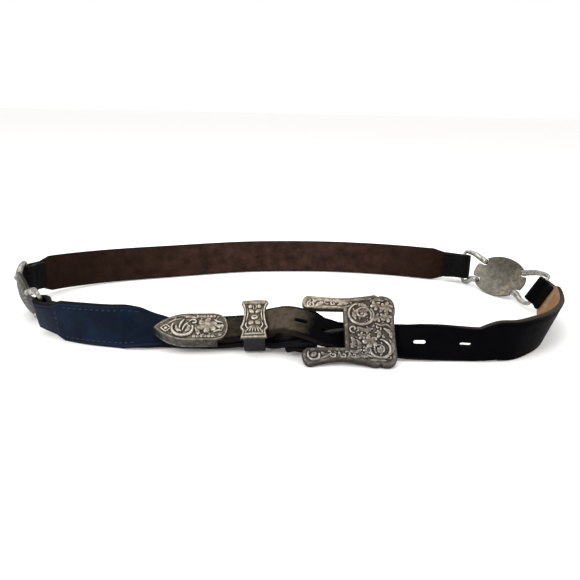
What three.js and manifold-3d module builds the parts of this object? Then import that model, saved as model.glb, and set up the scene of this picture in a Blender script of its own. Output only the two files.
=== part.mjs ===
// Concho belt: three leather straps joined into a loop by two oval conchos on horn-shaped rings, and
// fastened in front by a C-shaped buckle with a keeper and a metal tip. The belt stands on its edge.
// Millimetres, +Z up, the buckle on the -Y side. Every route runs counter-clockwise seen from above,
// so the inside of the loop is on a route's left.

import * as THREE from 'three';
import { mergeVertices } from 'three/addons/utils/BufferGeometryUtils.js';
import Module from 'manifold-3d';

const wasm = await Module();
wasm.setup();

// Leather
const leatherThick = 3.2;
const edgeChamfer = 0.5;
const wideStrap = 25.4;
const narrowStrap = 20.4;
const tabWidth = 18.6;
const plyGap = 0.35;
const tabLength = 16;
const barTabLength = 13;
const routeStep = 6;
const foldSteps = 8;

// Holes of the billet
const holeLength = 6.8;
const holeWidth = 2.2;
const usedHoleLength = 11;
const usedHoleWidth = 3.1;
const usedHoleShift = -2.6;
const tongueHoleX = 28.6;

// Buckle frame
const frameLength = 53.4;
const frameHeight = 49.8;
const frameShift = 0.7;
const frameThick = 3.2;
const frameLean = 57;
const frameCentre = { x: 37.7, y: -77.2, z: 14.58 };
const plateLength = 29.4;
const openingHeight = 26.5;
const openingShift = 0.95;
const upperDip = 1.6;
const lowerDip = 3.2;
const barRadius = 1.4;
const barInset = 4;
const barDrop = 3.2;
const lugLength = 3.4;
const lugHeight = 2;
const lugSink = 0.2;

// Tongue
const tongueRadius = 1.2;
const tongueCollar = 1.2;
const tongueSlot = 5.2;
const tongueSlotReach = 9;
const tongueOffset = 1.3;
const tongueRise = 2.2;

// Keeper
const keeperX = -15.8;
const keeperSkew = 4;
const keeperDrop = 0.9;
const keeperBand = 12;
const keeperWall = 1.1;
const keeperPlateHeight = 33;
const keeperPlateShift = 0.8;
const keeperInsideDepth = 11.2;
const keeperInsideHeight = 24.2;
const keeperPlateLength = 15.4;
const keeperPlateThick = 1.8;
const keeperWaist = 1.3;

// Tip
const tipLength = 42.5;
const tipWidth = 22.8;
const tipThick = 5.8;
const tipPoint = 20;
const tipRound = 9;
const tipWallEnd = 36;
const tipFaceThick = 1.5;
const tipStart = { x: -73.5, y: -75.5, z: 11.9 };
const tipEnd = { x: -31, y: -69.7, z: 11.1 };
const tipLean = 68;

// Conchos and rings
const conchoLong = 48;
const conchoShort = 31;
const conchoDome = 4.5;
const conchoThick = 1.4;
const notchReach = 18.2;
const notchHalf = 8;
const notchRadius = 2.75;
const bowRadius = 1.3;
const hornRadius = 2.25;
const hornEndRadius = 1.8;
const bowHalf = 11.6;
const hornBulge = 1.5;

// Small running gap between neighbours
const gap = 0.4;
const foldGap = 0.6;

const UP = new THREE.Vector3(0, 0, 1);

const buckleStrapRoute = [
  { x: -145.5, y: -58, z: 13.4, lean: -14, width: tabWidth },
  { x: -140, y: -61, z: 13.1, lean: -12, width: tabWidth + 0.6 },
  { x: -134, y: -63.8, z: 12.9, lean: -9, width: narrowStrap },
  { x: -128.5, y: -66, z: 12.8, lean: -6, width: wideStrap },
  { x: -114, y: -70, z: 12.8, lean: 0, width: wideStrap },
  { x: -99, y: -72.6, z: 12.8, lean: 4, width: wideStrap },
  { x: -91, y: -72.8, z: 12.7, lean: 12, width: wideStrap },
  { x: -84, y: -71.4, z: 11.6, lean: 26, width: 24 },
  { x: -77.5, y: -69.2, z: 9.6, lean: 40, width: 22.4 },
  { x: -71, y: -67.4, z: 8, lean: 52, width: 21.4 },
  { x: -64, y: -66.5, z: 6.6, lean: 61, width: narrowStrap },
  { x: -56, y: -66.4, z: 5.8, lean: 66, width: narrowStrap },
  { x: -40, y: -67.1, z: 5.9, lean: 68, width: narrowStrap },
  { x: -31, y: -67.9, z: 6.6, lean: 68.5, width: narrowStrap },
  { x: -25, y: -68.4, z: 7.45, lean: 69, width: narrowStrap },
  { x: -9, y: -69.2, z: 7.85, lean: 69, width: narrowStrap },
  { x: -4, y: -69.6, z: 7.6, lean: 68.5, width: narrowStrap },
  { x: 1, y: -71.6, z: 8.4, lean: 67, width: narrowStrap },
  { x: 5.5, y: -74.6, z: 10.4, lean: 64, width: narrowStrap },
  { x: 9.5, y: -77.1, z: 12.6, lean: 60, width: narrowStrap },
  { x: 12.5, y: -78.4, z: 13.95, lean: 57.5, width: narrowStrap },
  { x: 15, y: -78.68, z: 14.1, lean: 57, width: narrowStrap },
];

const billetRoute = [
  { x: -69.5, y: -74.95, z: 11.82, lean: tipLean, width: 6 },
  { x: -64, y: -74.2, z: 11.72, lean: tipLean, width: 14 },
  { x: -60, y: -73.66, z: 11.65, lean: tipLean, width: 17.4 },
  { x: -52, y: -72.57, z: 11.5, lean: tipLean, width: 19.6 },
  { x: -40, y: -70.93, z: 11.27, lean: tipLean, width: narrowStrap - 0.4 },
  { x: -31, y: -69.9, z: 11.2, lean: tipLean, width: narrowStrap },
  { x: -25, y: -69.5, z: 11.74, lean: 69, width: narrowStrap },
  { x: -19, y: -69.65, z: 12.15, lean: 69, width: narrowStrap },
  { x: -14.5, y: -69.93, z: 12.85, lean: 69, width: narrowStrap },
  { x: -11, y: -70.3, z: 13.6, lean: 68, width: narrowStrap },
  { x: -7, y: -69.8, z: 16.1, lean: 57, width: narrowStrap },
  { x: -3, y: -71.9, z: 18.1, lean: 58.5, width: narrowStrap },
  { x: 2, y: -74.7, z: 19.55, lean: 63, width: narrowStrap },
  { x: 8, y: -78.1, z: 19.8, lean: 65, width: narrowStrap },
  { x: 15.5, y: -79.65, z: 18.35, lean: 58.7, width: narrowStrap },
  { x: 22, y: -79.35, z: 15.0, lean: 55, width: narrowStrap },
  { x: 28, y: -77.4, z: 12.4, lean: 57, width: narrowStrap },
  { x: 33.5, y: -76.2, z: 10.1, lean: 57, width: narrowStrap },
  { x: 40, y: -75.9, z: 9.1, lean: 56, width: narrowStrap },
  { x: 49, y: -76.4, z: 8.6, lean: 54, width: narrowStrap },
  { x: 58, y: -76.6, z: 8, lean: 51, width: narrowStrap },
  { x: 64.5, y: -76.6, z: 8.7, lean: 46, width: narrowStrap },
  { x: 72, y: -79, z: 9.2, lean: 37, width: narrowStrap },
  { x: 80, y: -80.8, z: 10, lean: 25, width: narrowStrap },
  { x: 90, y: -82, z: 10.4, lean: 12, width: narrowStrap },
  { x: 100, y: -83, z: 10.4, lean: 2, width: narrowStrap },
  { x: 111, y: -83.6, z: 10.6, lean: -3, width: narrowStrap },
  { x: 121, y: -83.4, z: 12.7, lean: -5, width: 24.6 },
  { x: 130, y: -81.6, z: 12.5, lean: -6, width: 24.8 },
  { x: 141, y: -75.4, z: 12.8, lean: -10, width: wideStrap },
  { x: 152, y: -66, z: 12.8, lean: -14, width: wideStrap },
  { x: 161.5, y: -53.6, z: 12.7, lean: -18, width: wideStrap },
  { x: 169, y: -39.6, z: 12.6, lean: -21, width: wideStrap },
  { x: 175, y: -22, z: 12.6, lean: -24, width: wideStrap },
  { x: 178.4, y: -11, z: 12.7, lean: -26, width: 24 },
  { x: 180.3, y: -3, z: 12.7, lean: -28, width: tabWidth + 0.8 },
  { x: 181.4, y: 7, z: 12.7, lean: -29, width: tabWidth },
];

const backStrapRoute = [
  { x: 144.5, y: 77.8, z: 12.55, lean: -9, width: tabWidth },
  { x: 136, y: 79.2, z: 12.7, lean: -11, width: tabWidth + 1 },
  { x: 129, y: 80.2, z: 12.9, lean: -12, width: tabWidth + 1.6 },
  { x: 120, y: 81.4, z: 12.9, lean: -12, width: wideStrap },
  { x: 96, y: 89.4, z: 12.8, lean: -12, width: wideStrap },
  { x: 66, y: 95.6, z: 12.8, lean: -12, width: wideStrap },
  { x: 33, y: 98.6, z: 12.8, lean: -12, width: wideStrap },
  { x: 0, y: 97.2, z: 12.8, lean: -12, width: wideStrap },
  { x: -33, y: 92.6, z: 12.8, lean: -12, width: wideStrap },
  { x: -66, y: 82.4, z: 12.8, lean: -12, width: wideStrap },
  { x: -96, y: 71.4, z: 12.8, lean: -12, width: wideStrap },
  { x: -124, y: 60.4, z: 13, lean: -10, width: wideStrap },
  { x: -146, y: 47.6, z: 13.6, lean: -8, width: wideStrap },
  { x: -163, y: 34, z: 14.4, lean: -5, width: wideStrap },
  { x: -171, y: 24.8, z: 15, lean: -4, width: wideStrap },
  { x: -175.4, y: 18.2, z: 15.6, lean: -3, width: tabWidth + 1 },
  { x: -182, y: 6, z: 16.4, lean: -3, width: tabWidth },
];

// Holes as distances along the billet from the one that the tongue holds
const holeTable = [
  { along: -20, length: holeLength, width: holeWidth },
  { along: usedHoleShift, length: usedHoleLength, width: usedHoleWidth },
  { along: 25.2, length: holeLength, width: holeWidth },
  { along: 50.4, length: holeLength, width: holeWidth },
  { along: 75.6, length: holeLength, width: holeWidth },
];

const rightLink = { back: { x: 144, y: 76.5 }, front: { x: 180.4, y: 12 }, z: 14.1, lean: -31 };
const leftLink = { back: { x: -183, y: 2 }, front: { x: -145, y: -56 }, z: 15.5, lean: -14 };

const leather = new THREE.MeshStandardMaterial({ color: '#12131c', roughness: 0.42, metalness: 0 });
const leatherBack = new THREE.MeshStandardMaterial({ color: '#3a211a', roughness: 0.6, metalness: 0 });
const silver = new THREE.MeshStandardMaterial({ color: '#a8a296', roughness: 0.38, metalness: 1 });
const wornSilver = new THREE.MeshStandardMaterial({ color: '#b9b5ac', roughness: 0.45, metalness: 1 });

const radians = THREE.MathUtils.degToRad;

// Tangent, width direction and outward normal of a leather route at one point
function bandFrame(tangent, lean) {
  const inward = new THREE.Vector3().crossVectors(UP, tangent).normalize();
  const across = UP.clone().multiplyScalar(Math.cos(radians(lean)));
  across.addScaledVector(inward, Math.sin(radians(lean)));
  across.addScaledVector(tangent, -across.dot(tangent)).normalize();
  const outward = new THREE.Vector3().crossVectors(tangent, across).normalize();
  return { tangent, across, outward };
}

// Samples of a route: point, frame and width every few millimetres
function sampleRoute(rows) {
  const spine = new THREE.CatmullRomCurve3(rows.map((row) => new THREE.Vector3(row.x, row.y, row.z)));
  const tilts = rows.map((row) => new THREE.Vector3(row.lean, 0, 0));
  const leans = new THREE.CatmullRomCurve3(tilts, false, 'catmullrom');
  const last = rows.length - 1;
  const samples = [];
  rows.forEach((row, index) => {
    const next = rows[Math.min(index + 1, last)];
    const span = Math.hypot(next.x - row.x, next.y - row.y, next.z - row.z);
    const steps = index === last ? 1 : Math.max(1, Math.round(span / routeStep));
    for (let step = 0; step < steps; step += 1) {
      const part = step / steps;
      const along = Math.min(1, (index + part) / last);
      const point = spine.getPoint(along);
      const lean = leans.getPoint(along).x;
      const width = THREE.MathUtils.lerp(row.width, next.width, part);
      samples.push({ point, width, ...bandFrame(spine.getTangent(along).normalize(), lean) });
    }
  });
  return samples;
}

// The turn of a strap round a bar at its end, and the tab that lies against the strap's inner face.
// side is 1 at the end of the route and -1 at its start; samples are returned from the strap outwards.
function foldedTab(samples, side, barSize, length) {
  const end = side > 0 ? samples[samples.length - 1] : samples[0];
  const radius = barSize + foldGap + leatherThick / 2;
  const folded = [];
  for (let step = 1; step < foldSteps; step += 1) {
    const turn = (Math.PI * step) / foldSteps;
    const point = end.point.clone();
    point.addScaledVector(end.tangent, side * radius * Math.sin(turn));
    point.addScaledVector(end.outward, -radius * (1 - Math.cos(turn)));
    folded.push({ ...end, point });
  }
  const inwardOrder = side > 0 ? [...samples].reverse() : samples;
  let travelled = 0;
  for (let index = 0; index < inwardOrder.length && travelled <= length; index += 1) {
    const sample = inwardOrder[index];
    if (index > 0) {
      travelled += sample.point.distanceTo(inwardOrder[index - 1].point);
    }
    const settle = THREE.MathUtils.smoothstep(travelled, radius * 0.4, radius * 2.4);
    const offset = THREE.MathUtils.lerp(2 * radius, leatherThick + plyGap, settle);
    const point = sample.point.clone().addScaledVector(sample.outward, -offset);
    folded.push({ ...sample, point, width: Math.min(sample.width, end.width) });
  }
  return folded;
}

// The eight corners of a strap's section, with its edges broken
function strapSection(sample, tangent) {
  const half = sample.width / 2;
  const depth = leatherThick / 2;
  const outward = new THREE.Vector3().crossVectors(tangent, sample.across).normalize();
  const corners = [
    [half - edgeChamfer, depth],
    [half, depth - edgeChamfer],
    [half, edgeChamfer - depth],
    [half - edgeChamfer, -depth],
    [edgeChamfer - half, -depth],
    [-half, edgeChamfer - depth],
    [-half, depth - edgeChamfer],
    [edgeChamfer - half, depth],
  ];
  return corners.map(([up, out]) => {
    const corner = sample.point.clone().addScaledVector(sample.across, up);
    return corner.addScaledVector(outward, out);
  });
}

// A closed solid through rings of points that all have the same count
function loft(rings) {
  const count = rings[0].length;
  const points = rings.flat();
  const faces = [];
  for (let ring = 0; ring + 1 < rings.length; ring += 1) {
    for (let side = 0; side < count; side += 1) {
      const a = ring * count + side;
      const b = ring * count + ((side + 1) % count);
      faces.push(a, b, b + count, a, b + count, a + count);
    }
  }
  const lastRing = (rings.length - 1) * count;
  for (let side = 1; side + 1 < count; side += 1) {
    faces.push(0, side + 1, side);
    faces.push(lastRing, lastRing + side, lastRing + side + 1);
  }
  const geometry = new THREE.BufferGeometry().setFromPoints(points);
  geometry.setIndex(faces);
  return outwardFacing(geometry);
}

// Turns the faces over when a closed mesh has them pointing in
function outwardFacing(geometry) {
  const positions = geometry.getAttribute('position');
  const index = geometry.getIndex();
  const corner = [new THREE.Vector3(), new THREE.Vector3(), new THREE.Vector3()];
  let volume = 0;
  for (let at = 0; at < index.count; at += 3) {
    corner.forEach((vertex, place) => vertex.fromBufferAttribute(positions, index.getX(at + place)));
    volume += corner[0].dot(corner[1].clone().cross(corner[2]));
  }
  if (volume < 0) {
    const turned = Array.from(index.array);
    for (let at = 0; at < turned.length; at += 3) {
      [turned[at], turned[at + 1]] = [turned[at + 1], turned[at]];
    }
    geometry.setIndex(turned);
  }
  return geometry;
}

function strapSolid(samples) {
  const rings = samples.map((sample, index) => {
    const before = samples[Math.max(0, index - 1)].point;
    const after = samples[Math.min(samples.length - 1, index + 1)].point;
    return strapSection(sample, after.clone().sub(before).normalize());
  });
  return loft(rings);
}

// Manifold solids from three.js geometry, and back
function toSolid(geometry) {
  const bare = geometry.clone();
  bare.deleteAttribute('normal');
  bare.deleteAttribute('uv');
  const merged = mergeVertices(bare, 1e-4);
  return new wasm.Manifold(new wasm.Mesh({
    numProp: 3,
    vertProperties: new Float32Array(merged.getAttribute('position').array),
    triVerts: new Uint32Array(merged.getIndex().array),
  }));
}

function toGeometry(solid) {
  const mesh = solid.getMesh();
  const geometry = new THREE.BufferGeometry();
  geometry.setAttribute('position', new THREE.BufferAttribute(new Float32Array(mesh.vertProperties), 3));
  geometry.setIndex(Array.from(mesh.triVerts));
  return geometry;
}

// A round rod through points with a radius at each; its ends are flat
function taperedRod(points, radii, sides, steps) {
  const spine = new THREE.CatmullRomCurve3(points);
  const widths = radii.map((radius) => new THREE.Vector3(radius, 0, 0));
  const sizes = new THREE.CatmullRomCurve3(widths, false, 'catmullrom');
  const frames = spine.computeFrenetFrames(steps, false);
  const rings = [];
  for (let step = 0; step <= steps; step += 1) {
    const along = step / steps;
    const point = spine.getPointAt(along);
    const radius = sizes.getPoint(spine.getUtoTmapping(along)).x;
    const ring = [];
    for (let side = 0; side < sides; side += 1) {
      const turn = (2 * Math.PI * side) / sides;
      const vertex = point.clone().addScaledVector(frames.normals[step], radius * Math.cos(turn));
      ring.push(vertex.addScaledVector(frames.binormals[step], radius * Math.sin(turn)));
    }
    rings.push(ring);
  }
  return loft(rings);
}

// A matrix from a frame's own axes: along the belt, across it, and out of its face
function frameMatrix(origin, along, across, outward) {
  return new THREE.Matrix4().makeBasis(along, across, outward).setPosition(origin);
}

function extrude(shape, depth, curveSegments) {
  return new THREE.ExtrudeGeometry(shape, { depth, bevelEnabled: false, curveSegments });
}

function box(length, height, depth) {
  return new THREE.BoxGeometry(length, height, depth);
}

// Straps

const buckleStrapSamples = sampleRoute(buckleStrapRoute);
const billetSamples = sampleRoute(billetRoute);
const backStrapSamples = sampleRoute(backStrapRoute);

function makeBuckleStrap() {
  const start = foldedTab(buckleStrapSamples, -1, bowRadius, tabLength).reverse();
  const end = foldedTab(buckleStrapSamples, 1, barRadius, barTabLength);
  const strap = toSolid(strapSolid([...start, ...buckleStrapSamples, ...end]));
  const slot = box(tongueSlotReach * 2, tongueSlot, frameThick * 8);
  slot.applyMatrix4(frameHome(frameCentre.x - frameLength / 2 + barInset));
  return toGeometry(strap.subtract(toSolid(slot)));
}

function makeBackStrap() {
  const start = foldedTab(backStrapSamples, -1, bowRadius, tabLength).reverse();
  const end = foldedTab(backStrapSamples, 1, bowRadius, tabLength);
  return strapSolid([...start, ...backStrapSamples, ...end]);
}

// Rounded slot, its long way along the strap
function holeShape(length, width) {
  const straight = (length - width) / 2;
  const shape = new THREE.Shape();
  shape.absarc(straight, 0, width / 2, -Math.PI / 2, Math.PI / 2, false);
  shape.absarc(-straight, 0, width / 2, Math.PI / 2, (3 * Math.PI) / 2, false);
  return shape;
}

// Point and frame of a route at a distance along it
function sampleAt(samples, distance) {
  let travelled = 0;
  for (let index = 1; index < samples.length; index += 1) {
    const from = samples[index - 1];
    const to = samples[index];
    const span = from.point.distanceTo(to.point);
    if (travelled + span >= distance) {
      const part = (distance - travelled) / span;
      return {
        point: from.point.clone().lerp(to.point, part),
        tangent: from.tangent.clone().lerp(to.tangent, part).normalize(),
        across: from.across.clone().lerp(to.across, part).normalize(),
        outward: from.outward.clone().lerp(to.outward, part).normalize(),
      };
    }
    travelled += span;
  }
  return samples[samples.length - 1];
}

// Distance along a route at which it first passes an x
function distanceAtX(samples, x) {
  let travelled = 0;
  for (let index = 1; index < samples.length; index += 1) {
    const from = samples[index - 1].point;
    const to = samples[index].point;
    if (to.x >= x) {
      return travelled + (from.distanceTo(to) * (x - from.x)) / (to.x - from.x);
    }
    travelled += from.distanceTo(to);
  }
  return travelled;
}

function makeBillet() {
  const end = foldedTab(billetSamples, 1, bowRadius, tabLength);
  let strap = toSolid(strapSolid([...billetSamples, ...end]));
  const inUse = distanceAtX(billetSamples, tongueHoleX);
  for (const hole of holeTable) {
    const spot = sampleAt(billetSamples, inUse + hole.along);
    const cutter = extrude(holeShape(hole.length, hole.width), leatherThick * 3, 5);
    cutter.translate(0, 0, -leatherThick * 1.5);
    cutter.applyMatrix4(frameMatrix(spot.point, spot.tangent, spot.across, spot.outward));
    strap = strap.subtract(toSolid(cutter));
  }
  return toGeometry(strap);
}

// Buckle

// The buckle's own axes at a given place along it: x along the belt, y across, z out of its face
function frameHome(x) {
  const { across, outward } = bandFrame(new THREE.Vector3(1, 0, 0), frameLean);
  const origin = new THREE.Vector3(x, frameCentre.y, frameCentre.z);
  return frameMatrix(origin, new THREE.Vector3(1, 0, 0), across, outward);
}

// The frame's outline: up the opening's right side, along the upper arm, round the plate and the lower arm
function frameOutline() {
  const left = -frameLength / 2;
  const right = frameLength / 2;
  const top = frameHeight / 2 + frameShift;
  const low = frameShift - frameHeight / 2;
  const above = openingShift + openingHeight / 2;
  const below = openingShift - openingHeight / 2;
  const plateLeft = right - plateLength;
  const armRound = 4.6;
  const cornerRound = 7;
  const notch = 1.2;
  const shape = new THREE.Shape();
  shape.moveTo(plateLeft, below);
  shape.lineTo(plateLeft, above);
  shape.lineTo(left + armRound * 0.6, above);
  shape.quadraticCurveTo(left, above, left, above + armRound);
  shape.quadraticCurveTo(left, top, left + armRound, top);
  shape.quadraticCurveTo(plateLeft - 2, top - 2 * upperDip, right - 17, top);
  shape.lineTo(right - 15, top - notch);
  shape.lineTo(right - 13, top);
  shape.lineTo(right - cornerRound, top);
  shape.quadraticCurveTo(right, top, right, top - cornerRound);
  shape.lineTo(right - notch, top - cornerRound - 6);
  shape.lineTo(right, top - cornerRound - 8);
  shape.lineTo(right, low + cornerRound);
  shape.quadraticCurveTo(right, low, right - cornerRound, low);
  shape.lineTo(right - 13, low);
  shape.lineTo(right - 15, low + notch);
  shape.lineTo(right - 17, low);
  shape.quadraticCurveTo(plateLeft - 2, low + 2 * lowerDip, left + armRound, low);
  shape.quadraticCurveTo(left, low, left, below - armRound);
  shape.quadraticCurveTo(left, below, left + armRound * 0.6, below);
  shape.closePath();
  return shape;
}

function makeBuckleFrame() {
  const frame = extrude(frameOutline(), frameThick, 6);
  frame.translate(0, 0, -frameThick / 2);
  const bar = new THREE.CylinderGeometry(barRadius, barRadius, openingHeight + 4, 12);
  bar.translate(barInset - frameLength / 2, openingShift, -barDrop);
  let whole = toSolid(frame).add(toSolid(bar));
  const lugTop = lugSink - frameThick / 2;
  const lugDepth = lugTop + barDrop + barRadius;
  const lugReach = (openingHeight + lugHeight) / 2;
  for (const side of [-1, 1]) {
    const lug = box(lugLength, lugHeight, lugDepth);
    lug.translate(barInset - frameLength / 2, openingShift + side * lugReach, lugTop - lugDepth / 2);
    whole = whole.add(toSolid(lug));
  }
  return toGeometry(whole).applyMatrix4(frameHome(frameCentre.x));
}

// The tongue: a collar round the bar and a round pin that leans through the billet to the plate's edge
function makeTongue() {
  const barX = barInset - frameLength / 2;
  const plateX = frameLength / 2 - plateLength;
  const collarInner = barRadius + gap;
  const collarOuter = collarInner + tongueCollar;
  const ring = new THREE.Shape();
  ring.absarc(barX, 0, collarOuter, 0, 2 * Math.PI, false);
  const eye = new THREE.Path();
  eye.absarc(barX, 0, collarInner, 0, 2 * Math.PI, true);
  ring.holes.push(eye);
  const collar = extrude(ring, tongueSlot - 2 * gap - 0.6, 10);
  collar.translate(0, 0, -(tongueSlot - 2 * gap - 0.6) / 2);
  collar.rotateX(Math.PI / 2);
  collar.translate(0, 0, -barDrop);
  const pin = taperedRod(
    [
      new THREE.Vector3(barX + collarInner + 0.5, -tongueOffset / 2, -barDrop - 0.3),
      new THREE.Vector3(barX + 8, -tongueOffset, tongueRise - barDrop),
      new THREE.Vector3(plateX - 5, -tongueOffset, 1.2),
      new THREE.Vector3(plateX - gap - 0.3, -tongueOffset, 2.6),
    ],
    [tongueRadius, tongueRadius, tongueRadius * 0.9, tongueRadius * 0.6],
    10,
    10,
  );
  return toGeometry(toSolid(collar).add(toSolid(pin))).applyMatrix4(frameHome(frameCentre.x));
}

// Keeper

// Axes of the keeper: it hangs on the lower edge of the buckle strap and clears its inner face
function keeperHome() {
  const sample = sampleAt(buckleStrapSamples, distanceAtX(buckleStrapSamples, keeperX));
  const middle = sample.point.clone();
  middle.addScaledVector(sample.outward, (keeperInsideDepth - leatherThick) / 2 - gap);
  middle.addScaledVector(sample.across, (keeperInsideHeight - narrowStrap) / 2 - keeperDrop);
  const home = frameMatrix(middle, sample.tangent, sample.across, sample.outward);
  return home.multiply(new THREE.Matrix4().makeRotationZ(radians(keeperSkew)));
}

function keeperOutline() {
  const long = keeperPlateLength / 2;
  const tall = keeperPlateHeight / 2;
  const shape = new THREE.Shape();
  shape.moveTo(-long + 1, tall);
  shape.lineTo(long - 1, tall);
  shape.lineTo(long, tall - 3);
  shape.quadraticCurveTo(long - 2 * keeperWaist, tall / 2, long - keeperWaist, 1);
  shape.quadraticCurveTo(long - keeperWaist, -tall / 2, long, -tall * 0.62);
  shape.lineTo(long - 1.4, -tall);
  shape.lineTo(1.4 - long, -tall);
  shape.lineTo(-long, -tall * 0.62);
  shape.quadraticCurveTo(keeperWaist - long, -tall / 2, keeperWaist - long, 1);
  shape.quadraticCurveTo(2 * keeperWaist - long, tall / 2, -long, tall - 3);
  shape.closePath();
  return shape;
}

function makeKeeper() {
  const outsideHeight = keeperInsideHeight + 2 * keeperWall;
  const outsideDepth = keeperInsideDepth + 2 * keeperWall;
  const loop = toSolid(box(keeperBand, outsideHeight, outsideDepth));
  const plate = extrude(keeperOutline(), keeperPlateThick, 4);
  plate.translate(0, keeperPlateShift, outsideDepth / 2 - keeperWall / 2);
  const hollow = box(keeperPlateLength * 2, keeperInsideHeight, keeperInsideDepth);
  return toGeometry(loop.add(toSolid(plate)).subtract(toSolid(hollow))).applyMatrix4(keeperHome());
}

// Tip

// Outline of the tip in its plane, from its point at the origin; grow is added all round
function tipOutline(length, grow, rounded) {
  const half = tipWidth / 2 + grow;
  const shape = new THREE.Shape();
  shape.moveTo(-grow, 0);
  shape.quadraticCurveTo(tipPoint * 0.42, -half, tipPoint, -half);
  if (rounded) {
    shape.lineTo(length - tipRound, -half);
    shape.bezierCurveTo(length - tipRound * 0.3, -half, length, -half * 0.6, length, 0);
    shape.bezierCurveTo(length, half * 0.6, length - tipRound * 0.3, half, length - tipRound, half);
  } else {
    shape.lineTo(length, -half);
    shape.lineTo(length, half);
  }
  shape.lineTo(tipPoint, half);
  shape.quadraticCurveTo(tipPoint * 0.42, half, -grow, 0);
  return shape;
}

function tipHome() {
  const origin = new THREE.Vector3(tipStart.x, tipStart.y, tipStart.z);
  const tangent = new THREE.Vector3(tipEnd.x, tipEnd.y, tipEnd.z).sub(origin).normalize();
  const frame = bandFrame(tangent, tipLean);
  return frameMatrix(origin, frame.tangent, frame.across, frame.outward);
}

function makeTip() {
  const body = extrude(tipOutline(tipWallEnd, 0, false), tipThick - tipFaceThick, 8);
  body.translate(0, 0, -tipThick / 2);
  const face = extrude(tipOutline(tipLength, 0, true), tipFaceThick + 0.2, 8);
  face.translate(0, 0, tipThick / 2 - tipFaceThick - 0.2);
  const pocketDepth = leatherThick + 2 * gap;
  const pocket = extrude(tipOutline(tipLength + 4, -0.9, false), pocketDepth, 8);
  pocket.translate(0, 0, -pocketDepth / 2);
  const whole = toSolid(body).add(toSolid(face)).subtract(toSolid(pocket));
  return toGeometry(whole).applyMatrix4(tipHome());
}

// Conchos and rings

// Axes of a link: x along the belt, y across it, z outward; its origin is the concho's rim centre
function linkHome(link, fromBack) {
  const start = fromBack ? link.back : link.front;
  const finish = fromBack ? link.front : link.back;
  const tangent = new THREE.Vector3(finish.x - start.x, finish.y - start.y, 0).normalize();
  const { across, outward } = bandFrame(tangent, link.lean);
  const origin = new THREE.Vector3((start.x + finish.x) / 2, (start.y + finish.y) / 2, link.z);
  return frameMatrix(origin, tangent, across, outward);
}

function makeConcho(home) {
  const radius = conchoLong / 2;
  const bands = 6;
  const profile = [];
  for (let band = 0; band <= bands; band += 1) {
    const share = band / bands;
    profile.push(new THREE.Vector2(radius * share, conchoDome * (1 - share * share) + conchoThick));
  }
  for (let band = bands; band >= 0; band -= 1) {
    const share = band / bands;
    profile.push(new THREE.Vector2(radius * share, conchoDome * (1 - share * share)));
  }
  const dome = new THREE.LatheGeometry(profile, 32);
  dome.rotateX(Math.PI / 2);
  dome.scale(1, conchoShort / conchoLong, 1);
  let solid = toSolid(outwardFacing(mergeVertices(bareCopy(dome), 1e-4)));
  for (const side of [-1, 1]) {
    for (const height of [-1, 1]) {
      const cutter = extrude(notchOutline(), conchoDome * 6, 8);
      cutter.translate(0, 0, -conchoDome * 3);
      cutter.rotateZ(side > 0 ? 0 : Math.PI);
      cutter.translate(side * notchReach, height * notchHalf, 0);
      solid = solid.subtract(toSolid(cutter));
    }
  }
  return toGeometry(solid).applyMatrix4(home);
}

// A round-ended slot that opens over the concho's rim
function notchOutline() {
  const shape = new THREE.Shape();
  shape.absarc(0, 0, notchRadius, Math.PI / 2, (3 * Math.PI) / 2, false);
  shape.lineTo(conchoLong / 4, -notchRadius);
  shape.lineTo(conchoLong / 4, notchRadius);
  shape.closePath();
  return shape;
}

function bareCopy(geometry) {
  const bare = geometry.clone();
  bare.deleteAttribute('normal');
  bare.deleteAttribute('uv');
  return bare;
}

// A horn-shaped ring: a thin bow through the strap's fold, and two arms that thicken to the notches.
// end is the strap sample at the fold, side says which end of its route, reach which notches.
function makeRing(end, side, home, reach) {
  const radius = bowRadius + foldGap + leatherThick / 2;
  const bow = end.point.clone().addScaledVector(end.outward, -radius);
  const points = [];
  const radii = [];
  for (const height of [1, -1]) {
    const butt = new THREE.Vector3(reach * notchReach, height * notchHalf, 3.2).applyMatrix4(home);
    const notch = new THREE.Vector3(reach * (notchReach + 0.2), height * notchHalf, 0.9).applyMatrix4(home);
    const lip = new THREE.Vector3(reach * (notchReach + 3.8), height * (notchHalf + 0.8), 0).applyMatrix4(home);
    const corner = bow.clone().addScaledVector(end.across, height * bowHalf);
    corner.addScaledVector(end.tangent, side * 0.8);
    const straight = bow.clone().addScaledVector(end.across, height * (tabWidth / 2 + 0.2));
    const middle = corner.clone().lerp(lip, 0.5).addScaledVector(end.across, height * hornBulge);
    const inner = bow.clone().addScaledVector(end.across, height * (tabWidth / 2 - 2.2));
    const arm = [butt, notch, lip, middle, corner, straight, inner];
    const neck = hornRadius * 0.7 + bowRadius * 0.3;
    const sizes = [hornEndRadius, hornRadius, hornRadius, neck, bowRadius, bowRadius, bowRadius];
    if (height > 0) {
      points.push(...arm);
      radii.push(...sizes);
    } else {
      points.push(...arm.reverse());
      radii.push(...sizes.reverse());
    }
  }
  return taperedRod(points, radii, 8, 40);
}

// Assembly: every piece is moved so that the origin is at the centre of the belt's footprint

const footprintCentre = { x: 1.42, y: 2.2 };
const belt = new THREE.Group();

function place(name, geometry, material) {
  geometry.translate(-footprintCentre.x, -footprintCentre.y, 0);
  const mesh = new THREE.Mesh(geometry, material.clone());
  mesh.name = name;
  belt.add(mesh);
}

const rightHome = linkHome(rightLink, false);
const leftHome = linkHome(leftLink, true);

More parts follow.
